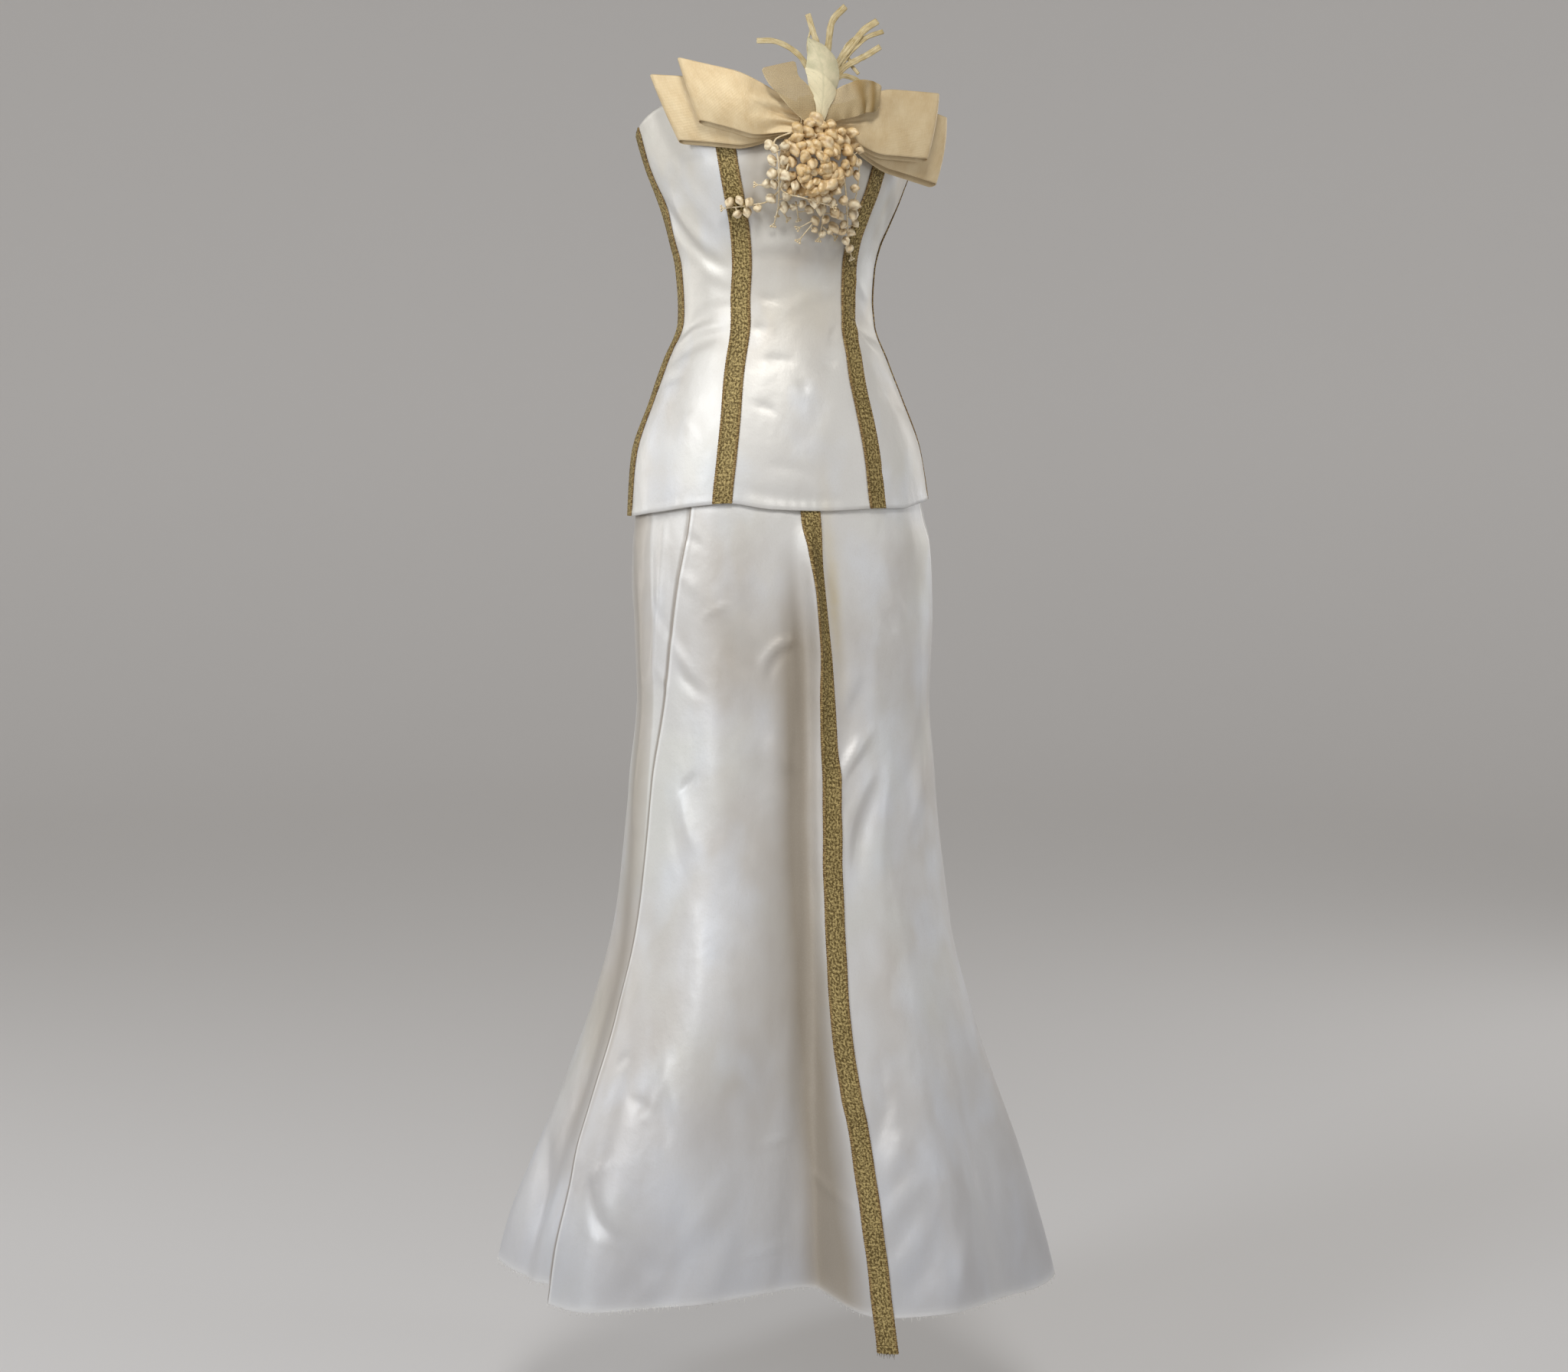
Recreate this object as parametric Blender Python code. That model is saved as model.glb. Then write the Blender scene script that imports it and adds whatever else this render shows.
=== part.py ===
"""Strapless corset worn over a long flared skirt, with gold braid and a ribbon bow.

Metres, +Z up. The front faces -Y and the wearer's left is +X. The origin is the middle of
the waist, where the set is held. Angles are degrees round the figure from the centre
front, positive towards the wearer's left.
"""

import math
from collections import namedtuple

import bmesh
import bpy
import numpy as np
from mathutils import Vector

CORSET_CLOTH = 0.0018
SKIRT_CLOTH = 0.0015
SEAM_GAP = 0.0003
LAP_WIDTH = 0.012
LAP_DROP = 0.0024
BRAID_WIDTH = 0.020
BRAID_THICK = 0.0014
BRAID_TAIL = (0.018, 0.036)
WAISTBAND_HALF = 0.015
WAISTBAND_THICK = 0.0022
WAISTBAND_OPEN = 0.3
WAISTBAND_STEPS = 32
SKIRT_TOP = -WAISTBAND_HALF - SEAM_GAP
HELD_FROM = -0.030
HELD_DOWN_TO = -0.080
SHARP_ANGLE = 50

SATIN = (0.86, 0.85, 0.82)
GOLD = (0.46, 0.36, 0.14)
RIBBON = (0.80, 0.70, 0.52)
ORGANZA = (0.66, 0.55, 0.38)
LEAF_GREEN = (0.82, 0.80, 0.64)
STRAW = (0.70, 0.58, 0.38)
BUD = (0.84, 0.66, 0.46)

# Half width, the depths in front of and behind the side line, and the middle, at each height.
Section = namedtuple("Section", "height half_width front back middle")
CORSET_SECTIONS = (
    Section(0.230, 0.1660, 0.116, 0.090, 0.0000),
    Section(0.190, 0.1575, 0.119, 0.090, 0.0000),
    Section(0.150, 0.1465, 0.121, 0.090, 0.0000),
    Section(0.120, 0.1350, 0.116, 0.089, 0.0000),
    Section(0.090, 0.1235, 0.106, 0.086, -0.0017),
    Section(0.065, 0.1150, 0.098, 0.084, -0.0036),
    Section(0.040, 0.1090, 0.090, 0.082, -0.0036),
    Section(0.005, 0.1067, 0.086, 0.080, -0.0033),
    Section(-0.020, 0.1080, 0.088, 0.083, -0.0025),
    Section(-0.060, 0.1235, 0.095, 0.096, -0.0027),
    Section(-0.100, 0.1387, 0.104, 0.110, -0.0018),
    Section(-0.160, 0.1602, 0.112, 0.127, -0.0008),
    Section(-0.235, 0.1692, 0.116, 0.137, 0.0020),
)
SKIRT_SECTIONS = (
    Section(0.000, 0.1030, 0.082, 0.076, -0.0030),
    Section(-0.060, 0.1185, 0.090, 0.091, -0.0027),
    Section(-0.100, 0.1335, 0.099, 0.105, -0.0018),
    Section(-0.160, 0.1550, 0.107, 0.122, -0.0005),
    Section(-0.200, 0.1605, 0.110, 0.127, 0.0008),
    Section(-0.230, 0.1635, 0.1115, 0.131, 0.0020),
    Section(-0.262, 0.1688, 0.1125, 0.135, 0.0040),
    Section(-0.300, 0.1695, 0.113, 0.137, 0.0042),
    Section(-0.360, 0.1680, 0.113, 0.139, 0.0053),
    Section(-0.430, 0.1655, 0.114, 0.140, 0.0050),
    Section(-0.515, 0.1720, 0.120, 0.146, 0.0046),
    Section(-0.600, 0.1795, 0.129, 0.155, 0.0052),
    Section(-0.685, 0.1890, 0.143, 0.168, 0.0065),
    Section(-0.770, 0.2088, 0.160, 0.188, 0.0062),
    Section(-0.855, 0.2352, 0.181, 0.214, 0.0040),
    Section(-0.940, 0.2655, 0.205, 0.244, 0.0016),
    Section(-1.025, 0.2927, 0.228, 0.272, -0.0030),
    Section(-1.120, 0.3155, 0.248, 0.296, -0.0030),
)

# Soft cups that the corset's seams shape.
Cup = namedtuple("Cup", "angle height spread_angle spread_height depth")
CUPS = (
    Cup(-30, 0.125, 20, 0.045, 0.005),
    Cup(30, 0.125, 20, 0.045, 0.005),
)

# The deep fold beside the front braid: where its floor lies, and how wide each wall is.
FrontFold = namedtuple("FrontFold", "height angle depth right_width left_width")
FRONT_FOLD = (
    FrontFold(-0.10, -1, 0.000, 5, 3.0),
    FrontFold(-0.24, -1, 0.003, 5, 2.4),
    FrontFold(-0.43, -0.5, 0.006, 6, 3.0),
    FrontFold(-0.60, -1.5, 0.010, 9, 4.0),
    FrontFold(-0.72, -1.5, 0.018, 16, 4.2),
    FrontFold(-0.85, -0.5, 0.040, 28, 4.6),
    FrontFold(-0.95, 1, 0.064, 36, 5.0),
    FrontFold(-1.08, 3, 0.092, 44, 5.2),
    FrontFold(-1.12, 3, 0.096, 44, 5.2),
)

# The small ridge beside the braid just below the corset, on whose far wall the braid lies.
Ridge = namedtuple("Ridge", "height rise before right_width left_width")
BRAID_RIDGE = (
    Ridge(-0.200, 0.0000, 2.6, 4.0, 2.3),
    Ridge(-0.230, 0.0018, 2.6, 4.0, 2.3),
    Ridge(-0.262, 0.0095, 2.6, 4.0, 2.3),
    Ridge(-0.310, 0.0140, 2.6, 4.0, 2.2),
    Ridge(-0.360, 0.0120, 2.6, 4.0, 2.2),
    Ridge(-0.430, 0.0060, 2.8, 4.0, 2.4),
    Ridge(-0.520, 0.0020, 3.0, 4.0, 2.6),
    Ridge(-0.620, 0.0000, 3.0, 4.0, 2.6),
)

# Softer folds of the skirt, which deepen from their top down to the hem.
Fold = namedtuple("Fold", "top_angle hem_angle width top depth")
SKIRT_FOLDS = (
    Fold(-60, -52, 9, -0.70, 0.016),
    Fold(-88, -84, 7, -0.45, -0.010),
    Fold(-104, -102, 8, -0.40, 0.016),
    Fold(18, 28, 12, -0.50, 0.020),
    Fold(44, 52, 8, -0.62, -0.010),
    Fold(66, 72, 9, -0.60, 0.014),
    Fold(100, 104, 10, -0.45, -0.018),
    Fold(118, 124, 10, -0.45, 0.020),
    Fold(138, 146, 10, -0.40, -0.020),
    Fold(163, 168, 9, -0.40, 0.022),
    Fold(-138, -146, 10, -0.40, -0.020),
    Fold(-118, -124, 10, -0.45, 0.020),
    Fold(-163, -168, 9, -0.40, 0.022),
)

# Seam lines as angles at each height. The two front seams have an angle each.
Seam = namedtuple("Seam", "height angle")
SeamPair = namedtuple("SeamPair", "height right left")
FRONT_SEAMS = (
    SeamPair(0.230, 34.0, 40.0),
    SeamPair(0.170, 32.3, 37.0),
    SeamPair(0.125, 31.8, 35.2),
    SeamPair(0.065, 29.6, 35.6),
    SeamPair(0.040, 29.8, 36.5),
    SeamPair(0.000, 31.6, 37.1),
    SeamPair(-0.050, 30.5, 34.2),
    SeamPair(-0.100, 30.0, 31.2),
    SeamPair(-0.150, 28.9, 30.5),
    SeamPair(-0.200, 30.3, 30.8),
    SeamPair(-0.240, 31.0, 31.2),
)
SIDE_SEAM = (
    Seam(0.23, 91),
    Seam(0.13, 89),
    Seam(0.07, 87),
    Seam(0.00, 87),
    Seam(-0.10, 89),
    Seam(-0.24, 90),
)
RIGHT_LAP = (
    Seam(-0.010, -40.0),
    Seam(-0.238, -46.5),
    Seam(-0.297, -50.8),
    Seam(-0.347, -55.0),
    Seam(-0.404, -59.0),
    Seam(-0.454, -62.8),
    Seam(-0.511, -65.8),
    Seam(-0.620, -68.3),
    Seam(-0.700, -71.2),
    Seam(-0.770, -73.0),
    Seam(-0.900, -72.1),
    Seam(-0.945, -69.5),
    Seam(-0.985, -68.0),
    Seam(-1.120, -66.0),
)
LEFT_LAP = (
    Seam(-0.01, 62),
    Seam(-0.228, 67),
    Seam(-0.287, 73),
    Seam(-0.357, 79),
    Seam(-0.450, 82),
    Seam(-0.600, 86),
    Seam(-1.12, 88),
)
SKIRT_BRAID = (
    Seam(-0.010, 2.5),
    Seam(-0.236, 2.8),
    Seam(-0.314, 5.0),
    Seam(-0.413, 7.6),
    Seam(-0.511, 8.8),
    Seam(-0.609, 8.0),
    Seam(-0.700, 7.0),
    Seam(-0.750, 7.0),
    Seam(-0.800, 7.6),
    Seam(-0.845, 8.6),
    Seam(-0.870, 9.5),
    Seam(-0.964, 11.0),
    Seam(-1.012, 11.8),
    Seam(-1.120, 12.6),
)
BACK_RIGHT_SEAM = (Seam(-0.01, -118), Seam(-1.12, -122))

# Edge heights at angles round the figure.
Edge = namedtuple("Edge", "angle height")
NECKLINE = (
    Edge(0, 0.186),
    Edge(15, 0.196),
    Edge(30, 0.209),
    Edge(42, 0.213),
    Edge(55, 0.209),
    Edge(70, 0.199),
    Edge(88, 0.186),
    Edge(110, 0.174),
    Edge(180, 0.166),
)
CORSET_HEM = (
    Edge(-180, -0.218),
    Edge(-90, -0.228),
    Edge(-60, -0.222),
    Edge(-42, -0.216),
    Edge(-28, -0.213),
    Edge(-12, -0.219),
    Edge(8, -0.221),
    Edge(30, -0.219),
    Edge(45, -0.219),
    Edge(60, -0.214),
    Edge(90, -0.211),
    Edge(180, -0.218),
)
FRONT_HEM = (
    Edge(-80, -1.066),
    Edge(-66, -1.0715),
    Edge(-45, -1.066),
    Edge(-20, -1.060),
    Edge(0, -1.056),
    Edge(10, -1.068),
    Edge(30, -1.068),
    Edge(60, -1.085),
    Edge(90, -1.074),
)
BACK_HEM = (
    Edge(-180, -1.062),
    Edge(-120, -1.060),
    Edge(-90, -1.062),
    Edge(-60, -1.050),
    Edge(0, -1.050),
    Edge(60, -1.060),
    Edge(90, -1.066),
    Edge(180, -1.062),
)

CORSET_ROWS = (0.150, 0.120, 0.090, 0.060, 0.030, 0.0, -0.030, -0.062, -0.100, -0.145, -0.190)
SKIRT_ROWS = (
    -0.030, -0.062, -0.110, -0.170, -0.228, -0.262, -0.310, -0.375, -0.450, -0.540,
    -0.630, -0.710, -0.785, -0.855, -0.920, -0.980, -1.030,
)
SKIRT_BRAID_ROWS = SKIRT_ROWS[3:]
SIDE_PANEL_SPLIT = -0.170

# The bow: roots beside the wrap, folded loops that stand out and bend back.
KNOT = Vector((0.006, -0.1362, 0.187))
KNOT_HALF = Vector((0.016, 0.015, 0.024))
KNOT_ROUNDING = 0.004
ROOT_CLEAR = 0.0006
RIBBON_THICK = 0.0012
Loop = namedtuple("Loop", "name side layer length rise lean root_width end_width bend_root bend_end")
LOOPS = (
    Loop("bow_loop_back_right", -1, 0.0010, 0.142, 0.014, 0.030, 0.034, 0.068, 5, 34),
    Loop("bow_loop_front_right", -1, -0.0088, 0.120, 0.030, 0.022, 0.032, 0.064, 4, 22),
    Loop("bow_loop_front_left", 1, -0.0092, 0.122, -0.002, 0.012, 0.032, 0.068, 3, 21),
    Loop("bow_loop_back_left", 1, 0.0010, 0.148, -0.024, 0.012, 0.034, 0.070, 5, 34),
)
LOOP_ALONG = (0.0, 0.2, 0.42, 0.64, 0.84, 0.95)
LOOP_HALF_GAP = (0.0013, 0.0022, 0.0036, 0.0048, 0.0046, 0.0030)
LOOP_ACROSS = 4
LOOP_WIDENS_OVER = 0.55
LOOP_LEANS_OVER = 0.9
LOOP_CUPS_OVER = 0.4
LOOP_CUP = 0.0035

# Flat straw strips that fan up from the knot, as (across, up, forward) from its middle.
Strip = namedtuple("Strip", "width route")
STRIPS = (
    Strip(0.0055, ((0.004, 0.030, 0.006), (-0.012, 0.058, 0.010), (-0.040, 0.075, 0.008), (-0.060, 0.076, 0.004))),
    Strip(0.0050, ((0.005, 0.030, 0.006), (-0.004, 0.062, 0.008), (-0.006, 0.105, 0.002))),
    Strip(0.0065, ((0.007, 0.030, 0.006), (0.014, 0.074, 0.007), (0.020, 0.098, 0.004), (0.035, 0.117, -0.002))),
    Strip(0.0065, ((0.009, 0.030, 0.006), (0.027, 0.058, 0.008), (0.045, 0.082, 0.006), (0.068, 0.102, 0.000))),
    Strip(0.0045, ((0.010, 0.030, 0.006), (0.034, 0.058, 0.007), (0.052, 0.080, 0.003), (0.076, 0.091, -0.003))),
    Strip(0.0060, ((0.010, 0.030, 0.006), (0.030, 0.050, 0.009), (0.050, 0.062, 0.008), (0.070, 0.075, 0.004))),
    Strip(0.0050, ((0.010, 0.029, 0.006), (0.026, 0.043, 0.010), (0.040, 0.046, 0.010), (0.053, 0.040, 0.008))),
)
STRIP_ROOT = (0.0075, 0.0302, 0.006)
STRIP_ROOT_RADII = Vector((0.007, 0.006, 0.006))
STRIP_FACING = Vector((0, -1, 0.15))
STRIP_THICK = 0.0011
STRIP_STEPS = 8

# The spray: each sprig's end beside and below the knot, how far it stands off the corset,
# how many buds it bears and how large they are.
Sprig = namedtuple("Sprig", "across drop stand_off bulge buds bud_radius")
SPRIGS = (
    Sprig(-0.042, 0.026, 0.044, 0.014, 5, 0.0058),
    Sprig(-0.038, 0.048, 0.030, 0.026, 6, 0.0058),
    Sprig(-0.026, 0.068, 0.018, 0.036, 7, 0.0058),
    Sprig(-0.006, 0.078, 0.016, 0.042, 7, 0.0058),
    Sprig(0.014, 0.080, 0.016, 0.042, 7, 0.0058),
    Sprig(0.032, 0.070, 0.018, 0.036, 7, 0.0058),
    Sprig(0.042, 0.050, 0.030, 0.026, 6, 0.0058),
    Sprig(0.042, 0.026, 0.044, 0.014, 5, 0.0058),
    Sprig(0.036, 0.100, 0.010, 0.030, 6, 0.0050),
    Sprig(0.043, 0.134, 0.007, 0.024, 8, 0.0046),
    Sprig(-0.036, 0.100, 0.008, 0.026, 7, 0.0048),
    Sprig(0.014, 0.098, 0.008, 0.028, 6, 0.0048),
    Sprig(-0.080, 0.082, 0.008, 0.018, 6, 0.0046),
    Sprig(-0.012, 0.116, 0.007, 0.024, 5, 0.0044),
)
SPRIG_ROOT = Vector((0.004, -0.0228, -0.010))
SPRIG_ROOT_RADII = Vector((0.009, 0.0075, 0.010))
STEM_RADIUS = 0.0010
STEM_STEPS = 7
FIRST_BUD = 0.22
BUD_TURN = 137.5
SPRIG_TURN = 61
BUD_OFF_STEM = 0.72
BUD_SHRINKS = 0.18
BUD_LENGTH = 1.1


def clear_scene():
    for thing in list(bpy.data.objects):
        bpy.data.objects.remove(thing, do_unlink=True)


def material(name, colour, roughness, metallic=0.0):
    made = bpy.data.materials.new(name)
    made.use_nodes = True
    shader = made.node_tree.nodes["Principled BSDF"]
    shader.inputs["Base Color"].default_value = (*colour, 1.0)
    shader.inputs["Roughness"].default_value = roughness
    shader.inputs["Metallic"].default_value = metallic
    return made


def add_object(name, mesh, colour, roughness, metallic=0.0):
    mesh.materials.append(material(name, colour, roughness, metallic))
    thing = bpy.data.objects.new(name, mesh)
    bpy.context.scene.collection.objects.link(thing)
    return thing


class Curve:
    """A smooth curve through a table's rows, keyed on one column, with no overshoot."""

    def __init__(self, rows, key=0):
        data = np.array(rows, float)
        data = data[np.argsort(data[:, key])]
        self.keys = data[:, key]
        self.values = np.delete(data, key, axis=1)
        slopes = np.diff(self.values, axis=0) / np.diff(self.keys)[:, None]
        product = slopes[1:] * slopes[:-1]
        total = slopes[1:] + slopes[:-1]
        inner = np.where(product > 0, 2 * product / np.where(total == 0, 1, total), 0)
        self.tangents = np.vstack([slopes[:1], inner, slopes[-1:]])

    def __call__(self, key):
        key = min(max(key, self.keys[0]), self.keys[-1])
        row = min(int(np.searchsorted(self.keys, key, side="right")) - 1, len(self.keys) - 2)
        span = self.keys[row + 1] - self.keys[row]
        t = (key - self.keys[row]) / span
        start, end = self.values[row], self.values[row + 1]
        leave, arrive = self.tangents[row] * span, self.tangents[row + 1] * span
        found = (
            (2 * t**3 - 3 * t**2 + 1) * start
            + (t**3 - 2 * t**2 + t) * leave
            + (3 * t**2 - 2 * t**3) * end
            + (t**3 - t**2) * arrive
        )
        return found if len(found) > 1 else float(found[0])


def smooth(t):
    t = min(max(t, 0.0), 1.0)
    return t * t * (3 - 2 * t)


def bell(distance, width):
    return math.exp(-((distance / width) ** 2))


def angle_between(a, b):
    return (a - b + 180) % 360 - 180


corset_section = Curve(CORSET_SECTIONS)
skirt_section = Curve(SKIRT_SECTIONS)
front_fold = Curve(FRONT_FOLD)
front_seams = Curve(FRONT_SEAMS)
braid_ridge = Curve(BRAID_RIDGE)
side_seam = Curve(SIDE_SEAM)
right_lap = Curve(RIGHT_LAP)
left_lap = Curve(LEFT_LAP)
skirt_braid_line = Curve(SKIRT_BRAID)
back_right_seam = Curve(BACK_RIGHT_SEAM)
neckline_curve = Curve(NECKLINE)
corset_hem_curve = Curve(CORSET_HEM)
front_hem_curve = Curve(FRONT_HEM)
back_hem_curve = Curve(BACK_HEM)


def oval(section, angle, height, swell):
    half_width, front, back, middle = section
    turn = math.radians(angle)
    depth = front if math.cos(turn) > 0 else back
    at = Vector((middle + half_width * math.sin(turn), -depth * math.cos(turn), height))
    outward = Vector((math.sin(turn), -math.cos(turn), 0))
    return at + outward * swell


def corset_base(angle, height):
    swell = sum(
        cup.depth
        * bell(angle_between(angle, cup.angle), cup.spread_angle)
        * bell(height - cup.height, cup.spread_height)
        for cup in CUPS
    )
    return oval(corset_section(height), angle, height, swell)


def front_fold_depth(angle, height):
    floor, depth, right_width, left_width = front_fold(height)
    away = angle_between(angle, floor)
    return depth * bell(away, right_width if away < 0 else left_width)


def braid_ridge_height(angle, height):
    rise, before, right_width, left_width = braid_ridge(height)
    away = angle_between(angle, skirt_braid_line(height) - before)
    return rise * bell(away, right_width if away < 0 else left_width)


def skirt_base(angle, height):
    """The skirt as it hangs, which the corset holds in at the top."""
    swell = braid_ridge_height(angle, height) - front_fold_depth(angle, height)
    for fold in SKIRT_FOLDS:
        grown = smooth((fold.top - height) / (fold.top - SKIRT_SECTIONS[-1].height))
        middle = fold.top_angle + (fold.hem_angle - fold.top_angle) * grown
        swell += fold.depth * grown * bell(angle_between(angle, middle), fold.width)
    hung = oval(skirt_section(height), angle, height, swell)
    held = smooth((height - HELD_DOWN_TO) / (HELD_FROM - HELD_DOWN_TO))
    if held <= 0:
        return hung
    return hung.lerp(offset_point(corset_base, angle, height, -CORSET_CLOTH - SEAM_GAP), held)


def offset_point(base, angle, height, out):
    """The surface's point moved out along the surface's own normal."""
    step_angle, step_height = 0.2, 0.001
    across = base(angle + step_angle, height) - base(angle - step_angle, height)
    up = base(angle, height + step_height) - base(angle, height - step_height)
    return base(angle, height) + across.cross(up).normalized() * out


def angle_for(base, angle, height, width):
    """The angle that a width takes on the surface there."""
    step = 0.5
    chord = (base(angle + step, height) - base(angle - step, height)).length
    return width * 2 * step / chord


def wall(name, look, base, columns, rows, top, hem, outer, inner, beyond=()):
    """A thin closed wall between two offsets of a surface.

    columns(height) gives the angles of its upright lines, and rows the heights of its
    level lines between the top and hem edges, which follow the angle.
    """
    count = len(columns(rows[0]))
    levels = [None, *rows, None, *beyond]
    mesh = bmesh.new()
    sheets = []
    for out in (outer, inner):
        sheet = []
        for level, row in enumerate(levels):
            line = []
            for column in range(count):
                if row is None:
                    # The edge's height and the column's angle there settle in two steps.
                    edge, nearest = (top, rows[0]) if level == 0 else (hem, rows[-1])
                    height = edge(columns(nearest)[column])
                    height = edge(columns(height)[column])
                elif level > len(rows) + 1:
                    height = hem(columns(rows[-1])[column]) - row
                else:
                    height = row
                line.append(mesh.verts.new(offset_point(base, columns(height)[column], height, out)))
            sheet.append(line)
        sheets.append(sheet)
    outside, inside = sheets
    deep = len(levels)
    for r in range(deep - 1):
        for c in range(count - 1):
            for sheet, turned in ((outside, False), (inside, True)):
                a, b = sheet[r][c], sheet[r][c + 1]
                d, e = sheet[r + 1][c], sheet[r + 1][c + 1]
                for corners in ((a, d, e), (a, e, b)):
                    mesh.faces.new(corners[::-1] if turned else corners)
    border = [(0, c) for c in range(count)]
    border += [(r, count - 1) for r in range(1, deep)]
    border += [(deep - 1, c) for c in range(count - 2, -1, -1)]
    border += [(r, 0) for r in range(deep - 2, 0, -1)]
    for here, there in zip(border, border[1:] + border[:1]):
        a, b = outside[here[0]][here[1]], outside[there[0]][there[1]]
        c, d = inside[here[0]][here[1]], inside[there[0]][there[1]]
        mesh.faces.new((a, b, d))
        mesh.faces.new((a, d, c))
    data = bpy.data.meshes.new(name)
    bmesh.ops.recalc_face_normals(mesh, faces=mesh.faces)
    mesh.to_mesh(data)
    mesh.free()
    data.shade_smooth()
    data.set_sharp_from_angle(angle=math.radians(SHARP_ANGLE))
    return add_object(name, data, *look)


def between(start, end, count, crowd=()):
    """Inner column angles from start to end, closer together at each (angle, width, pull)."""
    steps = np.linspace(0, 1, 201)
    angles = start + (end - start) * steps
    density = np.ones_like(steps)
    for middle, width, pull in crowd:
        density += pull * np.exp(-(((angles - middle) / width) ** 2))
    reach = np.concatenate([[0], np.cumsum((density[1:] + density[:-1]) / 2)])
    return list(np.interp(np.linspace(0, reach[-1], count + 1), reach, angles))


def panel_columns(base, left_line, right_line, count, left_inset, right_inset, crowd=None):
    """Columns of a panel that stops a seam gap short of each line, with one at each inset."""

    def columns(height):
        low, high = left_line(height), right_line(height)
        gap = angle_for(base, low, height, SEAM_GAP / 2)
        found = [low + gap]
        start = low + angle_for(base, low, height, left_inset) if left_inset else low + gap
        end = high - angle_for(base, high, height, right_inset) if right_inset else high - gap
        inner = between(start, end, count, crowd(height) if crowd else ())
        found += inner if left_inset else inner[1:]
        if right_inset:
            found.append(high - gap)
        return found

    return columns


def strip_columns(base, line, width):
    def columns(height):
        middle = line(height)
        half = angle_for(base, middle, height, width / 2)
        return [middle - half, middle, middle + half]

    return columns


def centre_back(height):
    return 180.0


def centre_back_right(height):
    return -180.0


def mirrored(line):
    return lambda height: -line(height)


def front_seam_right(height):
    return -front_seams(height)[0]


def front_seam_left(height):
    return front_seams(height)[1]


def neckline(angle):
    return neckline_curve(abs(angle_between(angle, 0)))


def corset_hem(angle):
    return corset_hem_curve(angle_between(angle, 0))


def front_hem(angle):
    return front_hem_curve(angle_between(angle, 0))


def back_hem(angle):
    return back_hem_curve(angle_between(angle, 0))


def skirt_top(angle):
    return SKIRT_TOP


def side_panel_above(angle):
    return SIDE_PANEL_SPLIT + SEAM_GAP / 2


def side_panel_below(angle):
    return SIDE_PANEL_SPLIT - SEAM_GAP / 2


def make_corset():
    look = (SATIN, 0.35)
    half = BRAID_WIDTH / 2
    panels = (
        ("corset_centre_front", front_seam_right, front_seam_left, 8),
        ("corset_side_front_left", front_seam_left, side_seam, 6),
        ("corset_side_front_right", mirrored(side_seam), front_seam_right, 6),
        ("corset_back_left", side_seam, centre_back, 9),
        ("corset_back_right", centre_back_right, mirrored(side_seam), 9),
    )
    for name, low, high, count in panels:
        left_inset = 0 if low is centre_back_right else half
        right_inset = 0 if high is centre_back else half
        columns = panel_columns(corset_base, low, high, count, left_inset, right_inset)
        wall(name, look, corset_base, columns, CORSET_ROWS, neckline, corset_hem, 0.0, -CORSET_CLOTH)


def make_corset_braids():
    look = (GOLD, 0.5, 0.3)
    for name, line in (
        ("braid_front_left", front_seam_left),
        ("braid_front_right", front_seam_right),
        ("braid_side_left", side_seam),
        ("braid_side_right", mirrored(side_seam)),
    ):
        columns = strip_columns(corset_base, line, BRAID_WIDTH)
        wall(
            name, look, corset_base, columns, CORSET_ROWS, neckline, corset_hem,
            SEAM_GAP + BRAID_THICK, SEAM_GAP,
        )


def front_crowd(height):
    """Columns crowd on the steep wall of the deep fold, and a little on its other wall."""
    floor, _, _, left_width = front_fold(height)
    return ((floor + left_width * 0.6, 6.0, 2.5), (floor - 6, 8.0, 1.0))


def moved(line, base, width):
    """The line moved round the surface by a width."""
    return lambda height: line(height) + angle_for(base, line(height), height, width)


def make_skirt():
    look = (SATIN, 0.35)
    half = BRAID_WIDTH / 2
    under = -LAP_DROP
    columns = panel_columns(skirt_base, right_lap, skirt_braid_line, 14, LAP_WIDTH, half, front_crowd)
    wall("skirt_front_right", look, skirt_base, columns, SKIRT_ROWS, skirt_top, front_hem, 0.0, -SKIRT_CLOTH)
    columns = panel_columns(skirt_base, skirt_braid_line, left_lap, 10, half, LAP_WIDTH)
    wall("skirt_front_left", look, skirt_base, columns, SKIRT_ROWS, skirt_top, front_hem, 0.0, -SKIRT_CLOTH)
    right_end = moved(right_lap, skirt_base, LAP_WIDTH)
    left_start = moved(left_lap, skirt_base, -LAP_WIDTH)
    panels = (
        ("skirt_side_right", back_right_seam, right_end, 7, 0, LAP_WIDTH),
        ("skirt_back_right", centre_back_right, back_right_seam, 7, 0, 0),
        ("skirt_back_left", left_start, centre_back, 10, LAP_WIDTH, 0),
    )
    for name, *layout in panels:
        columns = panel_columns(skirt_base, *layout)
        rows, top = SKIRT_ROWS, skirt_top
        if name == "skirt_side_right":
            # The panel is one piece of cloth. Its part under the corset is a solid of its own,
            # so that its collision pieces follow the hollow at the waist.
            upper = [row for row in rows if row > SIDE_PANEL_SPLIT]
            rows, top = [row for row in rows if row < SIDE_PANEL_SPLIT], side_panel_below
            wall(
                name + "_top", look, skirt_base, columns, upper, skirt_top, side_panel_above,
                under, under - SKIRT_CLOTH,
            )
        wall(name, look, skirt_base, columns, rows, top, back_hem, under, under - SKIRT_CLOTH)


def make_skirt_braid():
    columns = strip_columns(skirt_base, skirt_braid_line, BRAID_WIDTH)
    wall(
        "braid_skirt", (GOLD, 0.5, 0.3), skirt_base, columns, SKIRT_BRAID_ROWS[1:],
        lambda angle: SKIRT_BRAID_ROWS[0], front_hem, SEAM_GAP + BRAID_THICK, SEAM_GAP, BRAID_TAIL,
    )


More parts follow.
